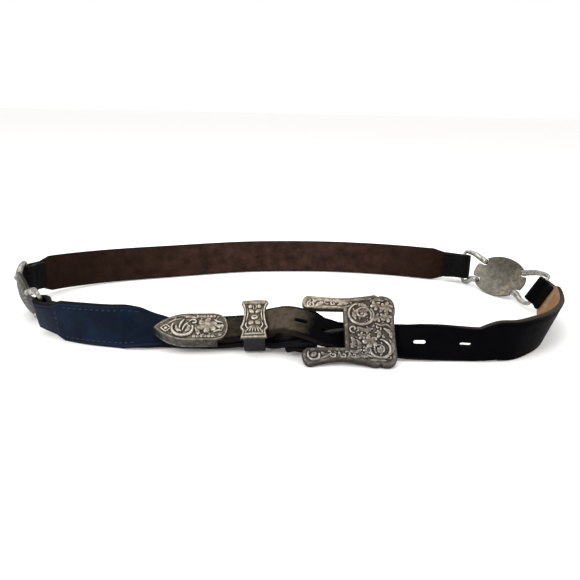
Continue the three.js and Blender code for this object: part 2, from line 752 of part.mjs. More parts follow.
place('back_strap', makeBackStrap(), leatherBack);
place('buckle_strap', makeBuckleStrap(), leather);
place('billet_strap', makeBillet(), leather);
place('buckle_frame', makeBuckleFrame(), silver);
place('buckle_tongue', makeTongue(), silver);
place('keeper', makeKeeper(), silver);
place('belt_tip', makeTip(), silver);
place('concho_right', makeConcho(rightHome), wornSilver);
place('concho_left', makeConcho(leftHome), silver);
place('ring_right_front', makeRing(billetSamples[billetSamples.length - 1], 1, rightHome, -1), wornSilver);
place('ring_right_back', makeRing(backStrapSamples[0], -1, rightHome, 1), wornSilver);
place('ring_left_back', makeRing(backStrapSamples[backStrapSamples.length - 1], 1, leftHome, -1), wornSilver);
place('ring_left_front', makeRing(buckleStrapSamples[0], -1, leftHome, 1), wornSilver);

export default belt;
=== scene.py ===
"""Concho belt: three leather straps, two silver conchos on horn rings, and an engraved buckle set."""

import logging
from collections.abc import Callable, Mapping, Sequence
from dataclasses import dataclass, field
from enum import Enum
from functools import partial
from math import comb, cos, dist, exp, pi, radians, sin
from typing import Any, NamedTuple

import bmesh
import bpy
import numpy as np
from bpy.types import Material, NodeSocket, NodeTree, Object
from mathutils import Matrix, Vector

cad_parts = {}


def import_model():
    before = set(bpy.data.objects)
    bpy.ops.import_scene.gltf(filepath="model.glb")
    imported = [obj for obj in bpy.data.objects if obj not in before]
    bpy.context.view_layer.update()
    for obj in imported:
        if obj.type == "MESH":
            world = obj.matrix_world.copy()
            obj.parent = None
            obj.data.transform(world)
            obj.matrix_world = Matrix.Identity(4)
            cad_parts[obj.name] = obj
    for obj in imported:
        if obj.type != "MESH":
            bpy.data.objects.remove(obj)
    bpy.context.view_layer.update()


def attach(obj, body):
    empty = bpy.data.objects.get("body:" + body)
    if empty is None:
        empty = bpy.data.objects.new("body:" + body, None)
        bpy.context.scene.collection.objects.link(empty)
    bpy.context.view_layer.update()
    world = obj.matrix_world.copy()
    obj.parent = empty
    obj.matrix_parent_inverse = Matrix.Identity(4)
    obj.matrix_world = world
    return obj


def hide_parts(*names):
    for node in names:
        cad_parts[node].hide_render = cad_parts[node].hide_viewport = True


LOG = logging.getLogger("belt")

MM = 0.001
FOOTPRINT = np.array([1.42, 2.2, 0.0])
UP = np.array([0.0, 0.0, 1.0])

LEATHER_THICK = 3.2
WIDE = 25.4
NARROW = 20.4
TAB = 18.6
PLY_GAP = 0.35
FOLD_GAP = 0.6
TAB_LENGTH = 16.0
BAR_TAB_LENGTH = 13.0
TIP_LEAN = 68.0

Array = np.ndarray
Pair = tuple[float, float]
Triple = tuple[float, float, float]
Faces = list[tuple[int, ...]]


class Row(NamedTuple):
    """One row of a strap's route: a point in mm, the lean in degrees and the strap's width."""

    x: float
    y: float
    z: float
    lean: float
    width: float


BUCKLE_STRAP_ROUTE = (
    Row(-145.5, -58, 13.4, -14, TAB),
    Row(-140, -61, 13.1, -12, TAB + 0.6),
    Row(-134, -63.8, 12.9, -9, NARROW),
    Row(-128.5, -66, 12.8, -6, WIDE),
    Row(-114, -70, 12.8, 0, WIDE),
    Row(-99, -72.6, 12.8, 4, WIDE),
    Row(-91, -72.8, 12.7, 12, WIDE),
    Row(-84, -71.4, 11.6, 26, 24),
    Row(-77.5, -69.2, 9.6, 40, 22.4),
    Row(-71, -67.4, 8, 52, 21.4),
    Row(-64, -66.5, 6.6, 61, NARROW),
    Row(-56, -66.4, 5.8, 66, NARROW),
    Row(-40, -67.1, 5.9, 68, NARROW),
    Row(-31, -67.9, 6.6, 68.5, NARROW),
    Row(-25, -68.4, 7.45, 69, NARROW),
    Row(-9, -69.2, 7.85, 69, NARROW),
    Row(-4, -69.6, 7.6, 68.5, NARROW),
    Row(1, -71.6, 8.4, 67, NARROW),
    Row(5.5, -74.6, 10.4, 64, NARROW),
    Row(9.5, -77.1, 12.6, 60, NARROW),
    Row(12.5, -78.4, 13.95, 57.5, NARROW),
    Row(15, -78.68, 14.1, 57, NARROW),
)

BILLET_ROUTE = (
    Row(-69.5, -74.95, 11.82, TIP_LEAN, 6),
    Row(-64, -74.2, 11.72, TIP_LEAN, 14),
    Row(-60, -73.66, 11.65, TIP_LEAN, 17.4),
    Row(-52, -72.57, 11.5, TIP_LEAN, 19.6),
    Row(-40, -70.93, 11.27, TIP_LEAN, NARROW - 0.4),
    Row(-31, -69.9, 11.2, TIP_LEAN, NARROW),
    Row(-25, -69.5, 11.74, 69, NARROW),
    Row(-19, -69.65, 12.15, 69, NARROW),
    Row(-14.5, -69.93, 12.85, 69, NARROW),
    Row(-11, -70.3, 13.6, 68, NARROW),
    Row(-7, -69.8, 16.1, 57, NARROW),
    Row(-3, -71.9, 18.1, 58.5, NARROW),
    Row(2, -74.7, 19.55, 63, NARROW),
    Row(8, -78.1, 19.8, 65, NARROW),
    Row(15.5, -79.65, 18.35, 58.7, NARROW),
    Row(22, -79.35, 15.0, 55, NARROW),
    Row(28, -77.4, 12.4, 57, NARROW),
    Row(33.5, -76.2, 10.1, 57, NARROW),
    Row(40, -75.9, 9.1, 56, NARROW),
    Row(49, -76.4, 8.6, 54, NARROW),
    Row(58, -76.6, 8, 51, NARROW),
    Row(64.5, -76.6, 8.7, 46, NARROW),
    Row(72, -79, 9.2, 37, NARROW),
    Row(80, -80.8, 10, 25, NARROW),
    Row(90, -82, 10.4, 12, NARROW),
    Row(100, -83, 10.4, 2, NARROW),
    Row(111, -83.6, 10.6, -3, NARROW),
    Row(121, -83.4, 12.7, -5, 24.6),
    Row(130, -81.6, 12.5, -6, 24.8),
    Row(141, -75.4, 12.8, -10, WIDE),
    Row(152, -66, 12.8, -14, WIDE),
    Row(161.5, -53.6, 12.7, -18, WIDE),
    Row(169, -39.6, 12.6, -21, WIDE),
    Row(175, -22, 12.6, -24, WIDE),
    Row(178.4, -11, 12.7, -26, 24),
    Row(180.3, -3, 12.7, -28, TAB + 0.8),
    Row(181.4, 7, 12.7, -29, TAB),
)

BACK_STRAP_ROUTE = (
    Row(144.5, 77.8, 12.55, -9, TAB),
    Row(136, 79.2, 12.7, -11, TAB + 1),
    Row(129, 80.2, 12.9, -12, TAB + 1.6),
    Row(120, 81.4, 12.9, -12, WIDE),
    Row(96, 89.4, 12.8, -12, WIDE),
    Row(66, 95.6, 12.8, -12, WIDE),
    Row(33, 98.6, 12.8, -12, WIDE),
    Row(0, 97.2, 12.8, -12, WIDE),
    Row(-33, 92.6, 12.8, -12, WIDE),
    Row(-66, 82.4, 12.8, -12, WIDE),
    Row(-96, 71.4, 12.8, -12, WIDE),
    Row(-124, 60.4, 13, -10, WIDE),
    Row(-146, 47.6, 13.6, -8, WIDE),
    Row(-163, 34, 14.4, -5, WIDE),
    Row(-171, 24.8, 15, -4, WIDE),
    Row(-175.4, 18.2, 15.6, -3, TAB + 1),
    Row(-182, 6, 16.4, -3, TAB),
)


# Colour and node helpers


def srgb(hex_value: str) -> tuple[float, float, float, float]:
    """Turns an sRGB hex value into linear colour with full alpha.

    Args:
        hex_value: the colour as #rrggbb.

    Returns:
        Its linear red, green and blue, and 1.
    """
    parts = [int(hex_value[at : at + 2], 16) / 255 for at in (1, 3, 5)]
    linear = [c / 12.92 if c <= 0.04045 else ((c + 0.055) / 1.055) ** 2.4 for c in parts]
    return (*linear, 1.0)


def add_node(
    tree: NodeTree, kind: str, inputs: Mapping[str | int, Any] | None = None, output: str | int = 0,
    **settings: Any,
) -> NodeSocket | None:
    """Adds one node with its settings and links.

    Args:
        tree: the node tree that takes the node.
        kind: the node's type name, which follows ShaderNode.
        inputs: a value or an output socket for each named or numbered input.
        output: name or number of the output that is wanted.
        settings: attributes of the node itself.

    Returns:
        The wanted output, or None from a node that has none.
    """
    node = tree.nodes.new("ShaderNode" + kind)
    for name, value in settings.items():
        setattr(node, name, value)
    for key, value in (inputs or {}).items():
        if isinstance(value, NodeSocket):
            tree.links.new(value, node.inputs[key])
        else:
            node.inputs[key].default_value = value
    return node.outputs[output] if node.outputs else None


def new_material(name: str) -> tuple[Material, Callable[..., NodeSocket], NodeSocket]:
    """Starts a node material.

    Args:
        name: the material's name.

    Returns:
        The material, the function that adds a node to it, and the place on the object in metres.
    """
    material = bpy.data.materials.new(name)
    material.use_nodes = True
    material.node_tree.nodes.clear()
    add = partial(add_node, material.node_tree)
    return material, add, add("TexCoord", output="Object")


def per_metre(size_mm: float) -> float:
    """Texture scale for a pattern whose features are size_mm across."""
    return 1000.0 / size_mm


# Finishes


@dataclass(frozen=True)
class FinishedLeather:
    """Vegetable-tanned cowhide, dyed through, rolled and waxed.

    The wax fills the grain, so the face is near black with a low soft sheen, and pale where it is rubbed.
    Painted light is mixed in too: a painted colour by the tone attribute, which is painted shade on the
    buckle strap and a painted highlight and sheen on the billet, and painted highlights that a strap adds to
    its wear attribute. The pores of real hide are about 0.2 mm across, too fine to show, so they are drawn
    at 0.9 mm.
    """

    name: str
    dye: str
    bloom: str
    worn: str
    painted_light_tone: str
    roughness: float = 0.42
    sheen: float = 0.1
    grain_mm: float = 0.9
    crease_mm: float = 7.0
    cloud_mm: float = 26.0
    scuff_mm: float = 3.2
    grain_depth_mm: float = 0.18

    def build(self) -> Material:
        """Makes the material: dye clouds, a painted light colour by the tone attribute, rubbed areas and
        painted highlights by the wear attribute, pores and soft creases.

        Returns:
            The material.
        """
        material, add, place = new_material(self.name)
        cloud = add("TexNoise", {
            "Vector": place, "Scale": per_metre(self.cloud_mm), "Detail": 4.0, "Roughness": 0.6,
        })
        clouded = add("MapRange", {"Value": cloud, "From Min": 0.38, "From Max": 0.68})
        dyed = add("Mix", {0: clouded, 6: srgb(self.dye), 7: srgb(self.bloom)}, 2, data_type="RGBA")
        # Painted light: the tone attribute mixes in painted shade on the buckle strap, and a painted
        # highlight and sheen on the billet.
        tone = add("Attribute", output="Fac", attribute_name="tone")
        toned = add("Mix", {0: tone, 6: dyed, 7: srgb(self.painted_light_tone)}, 2, data_type="RGBA")
        wear = add("Attribute", output="Fac", attribute_name="wear")
        scuff = add("TexNoise", {
            "Vector": place, "Scale": per_metre(self.scuff_mm), "Detail": 6.0, "Roughness": 0.7,
        })
        scuffed = add("Math", {0: wear, 1: scuff}, operation="MULTIPLY")
        rubbed = add("MapRange", {"Value": scuffed, "From Min": 0.1, "From Max": 0.52})
        colour = add("Mix", {0: rubbed, 6: toned, 7: srgb(self.worn)}, 2, data_type="RGBA")
        pores = add(
            "TexVoronoi",
            {"Vector": place, "Scale": per_metre(self.grain_mm), "Randomness": 1.0}, feature="SMOOTH_F1",
        )
        crease = add("TexNoise", {
            "Vector": place, "Scale": per_metre(self.crease_mm), "Detail": 5.0, "Distortion": 1.2,
        })
        heights = add("Math", {0: pores, 1: crease}, operation="ADD")
        bump = add("Bump", {"Height": heights, "Strength": 0.35, "Distance": self.grain_depth_mm * MM})
        gloss = add("MapRange", {
            "Value": scuff, "From Min": 0.3, "From Max": 0.7,
            "To Min": self.roughness - 0.06, "To Max": self.roughness + 0.12,
        })
        shader = add("BsdfPrincipled", {
            "Base Color": colour, "Roughness": gloss, "IOR": 1.5, "Specular IOR Level": self.sheen,
            "Normal": bump,
        })
        add("OutputMaterial", {"Surface": shader})
        return material


@dataclass(frozen=True)
class FleshSideLeather:
    """The split flesh side of the same hide, stained by handling.

    Cut fibres make it matt and mottled, darker than the dye where it has been handled most. The fibres are
    drawn at 0.8 mm, several times their real width, so that they show.
    """

    name: str
    dark: str
    light: str
    far: str
    stain_mm: float = 9.0
    fibre_mm: float = 0.8
    fibre_depth_mm: float = 0.25

    def build(self) -> Material:
        """Makes the material: stains, a second brown by the wear attribute, and a fibre bump.

        Returns:
            The material.
        """
        material, add, place = new_material(self.name)
        stain = add("TexNoise", {
            "Vector": place, "Scale": per_metre(self.stain_mm), "Detail": 8.0, "Roughness": 0.68,
        })
        stained = add("MapRange", {"Value": stain, "From Min": 0.33, "From Max": 0.7})
        brown = add("Mix", {0: stained, 6: srgb(self.dark), 7: srgb(self.light)}, 2, data_type="RGBA")
        wear = add("Attribute", output="Fac", attribute_name="wear")
        fibre = add("TexNoise", {
            "Vector": place, "Scale": per_metre(self.fibre_mm), "Detail": 6.0, "Roughness": 0.75,
        })
        share = add("Math", {0: wear, 1: fibre}, operation="MULTIPLY")
        doubled = add("Math", {0: share, 1: 1.8}, operation="MULTIPLY", use_clamp=True)
        colour = add("Mix", {0: doubled, 6: brown, 7: srgb(self.far)}, 2, data_type="RGBA")
        bump = add("Bump", {"Height": fibre, "Strength": 0.5, "Distance": self.fibre_depth_mm * MM})
        shader = add("BsdfPrincipled", {
            "Base Color": colour, "Roughness": 0.75, "IOR": 1.5, "Specular IOR Level": 0.06, "Normal": bump,
        })
        add("OutputMaterial", {"Surface": shader})
        return material


@dataclass(frozen=True)
class AntiquedSilver:
    """Cast nickel silver, silver-plated, blackened with liver of sulphur and wiped.

    The wipe leaves the high places bright, and brown-black sulphide in the sunk ground. The colour is also
    painted warmer higher above the table and cooler near it, as painted light from above.
    """

    name: str
    bright: str
    mid: str
    ground: str
    painted_cool_low: str = "#f3f4f7"
    painted_warm_high: str = "#fff9ee"
    roughness: float = 0.34
    tarnish_mm: float = 2.6
    scratch_mm: float = 0.6
    scratch_depth_mm: float = 0.06
    painted_cool_below_mm: float = 8.0
    painted_warm_above_mm: float = 26.0

    def build(self) -> Material:
        """Makes the material from the wear attribute, which is 1 on the ridges and 0 in the ground, and a
        painted warm light that grows with height above the table.

        Returns:
            The material.
        """
        material, add, place = new_material(self.name)
        wear = add("Attribute", output="Fac", attribute_name="wear")
        cloud = add("TexNoise", {
            "Vector": place, "Scale": per_metre(self.tarnish_mm), "Detail": 6.0, "Roughness": 0.65,
        })
        clouded = add("MapRange", {
            "Value": cloud, "From Min": 0.35, "From Max": 0.7, "To Min": -0.2, "To Max": 0.2,
        })
        level = add("Math", {0: wear, 1: clouded}, operation="ADD", use_clamp=True)
        low = add("MapRange", {"Value": level, "From Min": 0.05, "From Max": 0.5})
        high = add("MapRange", {"Value": level, "From Min": 0.5, "From Max": 1.0})
        dull = add("Mix", {0: low, 6: srgb(self.ground), 7: srgb(self.mid)}, 2, data_type="RGBA")
        colour = add("Mix", {0: high, 6: dull, 7: srgb(self.bright)}, 2, data_type="RGBA")
        # Painted light: cool low down, warm higher up, by the height above the table.
        height = add("SeparateXYZ", {"Vector": place}, "Z")
        share = add("MapRange", {
            "Value": height, "From Min": self.painted_cool_below_mm * MM, "From Max": self.painted_warm_above_mm * MM,
        })
        painted_height_light = add("Mix", {0: share, 6: srgb(self.painted_cool_low), 7: srgb(self.painted_warm_high)}, 2, data_type="RGBA")
        height_lit_colour = add("Mix", {0: 1.0, 6: colour, 7: painted_height_light}, 2, data_type="RGBA", blend_type="MULTIPLY")
        metallic = add("MapRange", {
            "Value": level, "From Min": 0.0, "From Max": 0.4, "To Min": 0.6, "To Max": 1.0,
        })
        rough = add("MapRange", {
            "Value": level, "From Min": 0.1, "From Max": 0.9, "To Min": 0.62, "To Max": self.roughness,
        })
        scratch = add("TexNoise", {
            "Vector": place, "Scale": per_metre(self.scratch_mm), "Detail": 4.0, "Roughness": 0.7,
        })
        bump = add("Bump", {"Height": scratch, "Strength": 0.25, "Distance": self.scratch_depth_mm * MM})
        shader = add("BsdfPrincipled", {
            "Base Color": height_lit_colour, "Metallic": metallic, "Roughness": rough, "Normal": bump,
        })
        add("OutputMaterial", {"Surface": shader})
        return material


@dataclass(frozen=True)
class RubbedSilver:
    """Plain cast silver alloy, tumbled and then worn by years of use.

    It is satin and finely scratched, greyed by tarnish between the scratches and yellowed in patches. Real
    scratches are finer than a tenth of a millimetre, so they are drawn coarser, to show in the gloss.
    """

    name: str
    clean: str
    yellowed: str
    tarnish: str
    roughness: float = 0.3
    patch_mm: float = 12.0
    tarnish_mm: float = 3.0
    scratch_mm: float = 0.9
    scratch_depth_mm: float = 0.08

    def build(self) -> Material:
        """Makes the material: yellowed patches, grey tarnish, and fine scratches in the gloss.

        Returns:
            The material.
        """
        material, add, place = new_material(self.name)
        patch = add("TexNoise", {
            "Vector": place, "Scale": per_metre(self.patch_mm), "Detail": 7.0, "Roughness": 0.65,
        })
        patched = add("MapRange", {"Value": patch, "From Min": 0.44, "From Max": 0.72})
        handled = add("Attribute", output="Fac", attribute_name="wear")
        yellow = add("Math", {0: patched, 1: 0.35, 2: handled}, operation="MULTIPLY_ADD", use_clamp=True)
        toned = add("Mix", {0: yellow, 6: srgb(self.clean), 7: srgb(self.yellowed)}, 2, data_type="RGBA")
        grime = add("TexNoise", {
            "Vector": place, "Scale": per_metre(self.tarnish_mm), "Detail": 6.0, "Roughness": 0.7,
        })
        grimed = add("MapRange", {"Value": grime, "From Min": 0.42, "From Max": 0.68, "To Max": 0.85})
        colour = add("Mix", {0: grimed, 6: toned, 7: srgb(self.tarnish)}, 2, data_type="RGBA")
        scratch = add("TexNoise", {
            "Vector": place, "Scale": per_metre(self.scratch_mm), "Detail": 6.0, "Roughness": 0.8,
        })
        rough = add("MapRange", {
            "Value": scratch, "From Min": 0.35, "From Max": 0.7,
            "To Min": self.roughness - 0.06, "To Max": self.roughness + 0.16,
        })
        bump = add("Bump", {"Height": scratch, "Strength": 0.2, "Distance": self.scratch_depth_mm * MM})
        shader = add("BsdfPrincipled", {
            "Base Color": colour, "Metallic": 1.0, "Roughness": rough, "Normal": bump,
        })
        add("OutputMaterial", {"Surface": shader})
        return material


@dataclass(frozen=True)
class WaxedThread:
    """Twisted linen thread, dyed and waxed: dark with a slight shine, its twist too fine to show."""

    name: str
    dye: str
    worn: str
    fleck_mm: float = 0.7

    def build(self) -> Material:
        """Makes the material, with a fine fleck in its dye.

        Returns:
            The material.
        """
        material, add, place = new_material(self.name)
        fleck = add("TexNoise", {"Vector": place, "Scale": per_metre(self.fleck_mm), "Detail": 3.0})
        colour = add("Mix", {0: fleck, 6: srgb(self.dye), 7: srgb(self.worn)}, 2, data_type="RGBA")
        shader = add("BsdfPrincipled", {
            "Base Color": colour, "Roughness": 0.5, "IOR": 1.5, "Specular IOR Level": 0.3,
        })
        add("OutputMaterial", {"Surface": shader})
        return material


# Strap geometry


def catmull(points: Array, at: float, centripetal: bool) -> Array:
    """A point on the curve through points, with at from 0 to 1 over the rows.

    Args:
        points: one row per control point.
        at: share of the way along, by row number.
        centripetal: True for a spine, False for a plain run of values.

    Returns:
        The interpolated row.
    """
    last = len(points) - 1
    scaled = min(max(at, 0.0), 1.0) * last
    index = min(int(scaled), last - 1)
    weight = scaled - index
    p1, p2 = points[index], points[index + 1]
    p0 = points[index - 1] if index > 0 else 2 * p1 - p2
    p3 = points[index + 2] if index + 2 <= last else 2 * p2 - p1
    if centripetal:
        d1 = max(float(((p2 - p1) ** 2).sum()) ** 0.25, 1e-4)
        d0 = max(float(((p1 - p0) ** 2).sum()) ** 0.25, 1e-4)
        d2 = max(float(((p3 - p2) ** 2).sum()) ** 0.25, 1e-4)
        t1 = ((p1 - p0) / d0 - (p2 - p0) / (d0 + d1) + (p2 - p1) / d1) * d1
        t2 = ((p2 - p1) / d1 - (p3 - p1) / (d1 + d2) + (p3 - p2) / d2) * d1
    else:
        t1, t2 = 0.5 * (p2 - p0), 0.5 * (p3 - p1)
    c2 = -3 * p1 + 3 * p2 - 2 * t1 - t2
    c3 = 2 * p1 - 2 * p2 + t1 + t2
    return p1 + t1 * weight + c2 * weight**2 + c3 * weight**3


def unit(vector: Array) -> Array:
    """The vector at length 1."""
    return vector / np.linalg.norm(vector)


def to_world(points: Array) -> Array:
    """Turns belt millimetres into row-frame metres."""
    return (np.asarray(points, float) - FOOTPRINT) * MM


class Home(NamedTuple):
    """Where a piece stands: its origin in belt millimetres and its three axes."""

    origin: Array
    along: Array
    across: Array
    out: Array

    def belt(self, local: Array) -> Array:
        """Moves points from the piece's own axes into belt millimetres."""
        return self.origin + np.asarray(local, float) @ np.array(self[1:])

    def metres(self, local: Array) -> Array:
        """Moves points from the piece's own axes into row-frame metres."""
        return to_world(self.belt(local))


BELT_HOME = Home(np.zeros(3), *np.eye(3))


def band_frame(tangent: Array, lean: float) -> tuple[Array, Array, Array]:
    """Directions of a band that leans into the loop.

    Args:
        tangent: the way it runs.
        lean: how far its upper edge leans inwards, in degrees.

    Returns:
        Its unit tangent, width direction and outward normal.
    """
    tangent = unit(tangent)
    inward = unit(np.cross(UP, tangent))
    across = UP * cos(radians(lean)) + inward * sin(radians(lean))
    across = unit(across - tangent * float(across @ tangent))
    return tangent, across, unit(np.cross(tangent, across))


def smoothstep(value: float, low: float, high: float) -> float:
    """Smooth rise from 0 at low to 1 at high."""
    share = min(max((value - low) / (high - low), 0.0), 1.0)
    return share * share * (3 - 2 * share)


class Sample(NamedTuple):
    """One place on a strap: its point, frame, width and x on the route."""

    point: Array
    tangent: Array
    across: Array
    outward: Array
    width: float


class StrapPath:
    """The samples of a strap's route, evenly close."""

    def __init__(self, rows: Sequence[Row], step: float = 1.2) -> None:
        """Samples the rows.

        Args:
            rows: the route.
            step: about how far apart the samples are, in millimetres.
        """
        spine = np.array([[r.x, r.y, r.z] for r in rows], float)
        leans = np.array([[r.lean] for r in rows], float)
        last = len(rows) - 1
        self.samples: list[Sample] = []
        for index, row in enumerate(rows):
            after = rows[min(index + 1, last)]
            span = dist(row[:3], after[:3])
            steps = 1 if index == last else max(1, round(span / step))
            for part in range(steps):
                at = min(1.0, (index + part / steps) / last)
                point = catmull(spine, at, True)
                tangent = catmull(spine, at + 1e-4, True) - catmull(spine, at - 1e-4, True)
                frame = band_frame(tangent, float(catmull(leans, at, False)[0]))
                width = row.width + (after.width - row.width) * part / steps
                self.samples.append(Sample(point, *frame, width))

    def folded(self, side: int, bar: float, length: float, steps: int = 18) -> list[Sample]:
        """The turn round a bar at one end and the tab on the strap's inner face, from the strap outwards.

        Args:
            side: 1 at the end of the route, -1 at its start.
            bar: the bar's radius.
            length: the tab's length.
            steps: steps of the turn.

        Returns:
            The samples of the fold and the tab.
        """
        end = self.samples[-1] if side > 0 else self.samples[0]
        radius = bar + FOLD_GAP + LEATHER_THICK / 2
        folded = []
        for step in range(1, steps):
            turn = pi * step / steps
            point = end.point + end.tangent * side * radius * sin(turn)
            folded.append(end._replace(point=point - end.outward * radius * (1 - cos(turn))))
        order = self.samples[::-1] if side > 0 else self.samples
        travelled = 0.0
        for index, sample in enumerate(order):
            if index > 0:
                travelled += float(np.linalg.norm(sample.point - order[index - 1].point))
            if travelled > length:
                break
            settle = smoothstep(travelled, radius * 0.4, radius * 2.4)
            offset = 2 * radius + (LEATHER_THICK + PLY_GAP - 2 * radius) * settle
            width = min(sample.width, end.width)
            folded.append(sample._replace(point=sample.point - sample.outward * offset, width=width))
        return folded

    def distance_at_x(self, x: float) -> float:
        """Distance along the route at which it first passes x.

        Args:
            x: a place on the belt's long axis.

        Returns:
            The distance from the route's start.
        """
        travelled = 0.0
        for before, after in zip(self.samples, self.samples[1:]):
            span = float(np.linalg.norm(after.point - before.point))
            if after.point[0] >= x:
                return travelled + span * (x - before.point[0]) / (after.point[0] - before.point[0])
            travelled += span
        return travelled

    def at(self, distance: float) -> Sample:
        """The route at a distance from its start.

        Args:
            distance: the distance along it.

        Returns:
            The sample there, between the two nearest ones.
        """
        travelled = 0.0
        for before, after in zip(self.samples, self.samples[1:]):
            span = float(np.linalg.norm(after.point - before.point))
            if travelled + span >= distance:
                share = (distance - travelled) / span
                blend = [a + (b - a) * share for a, b in zip(before, after)]
                return Sample(blend[0], unit(blend[1]), unit(blend[2]), unit(blend[3]), blend[4])
            travelled += span
        return self.samples[-1]


class Side(Enum):
    """Which surface of a strap a strip of its section belongs to."""

    FACE = 0
    EDGE = 1
    FLESH = 2


def strap_section(width: float) -> list[tuple[float, float, Side]]:
    """Points round a strap's section, each with the surface of the strip that starts there.

    Args:
        width: the strap's width.

    Returns:
        Place across, place in depth and surface, from the face's top, down it and up the flesh side.
    """
    half = width / 2
    deep = LEATHER_THICK / 2
    face = [(half - 0.75, deep - 0.04), (half - 1.7, deep), (half - 2.1, deep - 0.24), (half - 2.5, deep)]
    inner = half - 2.5
    face += [(inner * share, deep) for share in (0.72, 0.45, 0.2, 0.0)]
    mirrored = [(-across, depth) for across, depth in face[::-1][1:]]
    points = [(across, depth, Side.FACE) for across, depth in face + mirrored]
    points[-1] = (*points[-1][:2], Side.EDGE)
    edge = [(-half + 0.3, deep - 0.32), (-half + 0.02, deep - 0.9), (-half, 0.0)]
    edge += [(-half + 0.02, 0.9 - deep), (-half + 0.3, 0.32 - deep)]
    points += [(across, depth, Side.EDGE) for across, depth in edge]
    flesh = [(-half + 0.7, -deep), (-inner * 0.6, -deep), (-inner * 0.2, -deep)]
    flesh += [(inner * 0.2, -deep), (inner * 0.6, -deep), (half - 0.7, -deep)]
    points += [(across, depth, Side.FLESH) for across, depth in flesh]
    points[-1] = (*points[-1][:2], Side.EDGE)
    points += [(-across, depth, Side.EDGE) for across, depth in edge[::-1]]
    return points


def face_outwards(bm: bmesh.types.BMesh) -> None:
    """Turns every face of a closed mesh outwards.

    Args:
        bm: the mesh.
    """
    bmesh.ops.recalc_face_normals(bm, faces=bm.faces)
    if bm.calc_volume(signed=True) < 0:
        bmesh.ops.reverse_faces(bm, faces=bm.faces)


def make_object(
    name: str,
    vertices: Array,
    faces: Sequence[Sequence[int]],
    materials: Sequence[Material],
    slots: Sequence[int] | None = None,
    wear: Array | None = None,
    sharp: float = 38.0,
) -> Object:
    """Makes a smooth-shaded mesh object with its materials and wear attribute.

    Args:
        name: the piece's name.
        vertices: points in metres.
        faces: vertex numbers of each face.
        materials: the materials in slot order.
        slots: material slot of each face.
        wear: wear of each vertex, from 0 to 1.
        sharp: edges steeper than this many degrees stay sharp.

    Returns:
        The linked object.
    """
    mesh = bpy.data.meshes.new(name)
    mesh.from_pydata([tuple(v) for v in vertices], [], [tuple(f) for f in faces])
    for material in materials:
        mesh.materials.append(material)
    if slots is not None:
        mesh.polygons.foreach_set("material_index", list(slots))
    layer = mesh.attributes.new("wear", "FLOAT", "POINT")
    layer.data.foreach_set("value", np.zeros(len(vertices)) if wear is None else wear)
    mesh.polygons.foreach_set("use_smooth", [True] * len(mesh.polygons))
    mesh.update()
    bm = bmesh.new()
    bm.from_mesh(mesh)
    face_outwards(bm)
    bm.to_mesh(mesh)
    bm.free()
    mesh.set_sharp_from_angle(angle=radians(sharp))
    piece = bpy.data.objects.new(name, mesh)
    bpy.context.scene.collection.objects.link(piece)
    return piece


def settle(piece: Object, slot: str, *nodes: str) -> Object:
    """Rides a piece on the belt's body and hides the solids that it replaces.

    Args:
        piece: the finished piece.
        slot: its material slot; not used.
        nodes: the solids that it replaces.

    Returns:
        The piece.
    """
    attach(piece, "root")
    if nodes:
        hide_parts(*nodes)
    LOG.info("%s: %d faces", piece.name, len(piece.data.polygons))
    return piece


def apply_modifiers(piece: Object) -> None:
    """Turns a piece's modifiers into its mesh.

    Args:
        piece: the piece.
    """
    bpy.context.view_layer.update()
    graph = bpy.context.evaluated_depsgraph_get()
    made = bpy.data.meshes.new_from_object(piece.evaluated_get(graph))
    piece.modifiers.clear()
    piece.data = made


def cut(piece: Object, home: Home, solids: Sequence[tuple[Array, Faces]]) -> None:
    """Cuts solids out of a piece; the cut walls take its second material.

    Args:
        piece: the piece.
        home: the frame in which the solids are given.
        solids: points and faces of each.
    """
    points, faces, base = [], [], 0
    for local, quads in solids:
        points.append(local)
        faces += [tuple(v + base for v in quad) for quad in quads]
        base += len(local)
    cutter = make_object("cutter", home.metres(np.vstack(points)), faces, [piece.data.materials[1]])
    modifier = piece.modifiers.new("cut", "BOOLEAN")
    modifier.operation = "DIFFERENCE"
    modifier.solver = "MANIFOLD"
    modifier.material_mode = "TRANSFER"
    modifier.object = cutter
    apply_modifiers(piece)
    bpy.data.objects.remove(cutter)


def loft(rings: int, around: int, base: int = 0, caps: bool = True) -> Faces:
    """Faces over rings of points that follow one another.

    Args:
        rings: how many rings there are.
        around: points in a ring.
        base: number of the first point.
        caps: whether both ends are closed.

    Returns:
        The faces, with the two caps last.
    """
    faces = []
    for ring in range(rings - 1):
        for k in range(around):
            a, b = base + ring * around + k, base + ring * around + (k + 1) % around
            faces.append((a, b, b + around, a + around))
    if caps:
        last = base + (rings - 1) * around
        faces += [tuple(range(base, base + around))[::-1], tuple(range(last, last + around))]
    return faces


def prism(outline: Array, low: float, high: float) -> tuple[Array, Faces]:
    """A straight prism over a closed outline.

    Args:
        outline: its points.
        low: level of the prism's lower end.
        high: level of its upper end.

    Returns:
        Its points and faces.
    """
    points = np.array([[*p, level] for level in (low, high) for p in outline], float)
    return points, loft(2, len(outline))


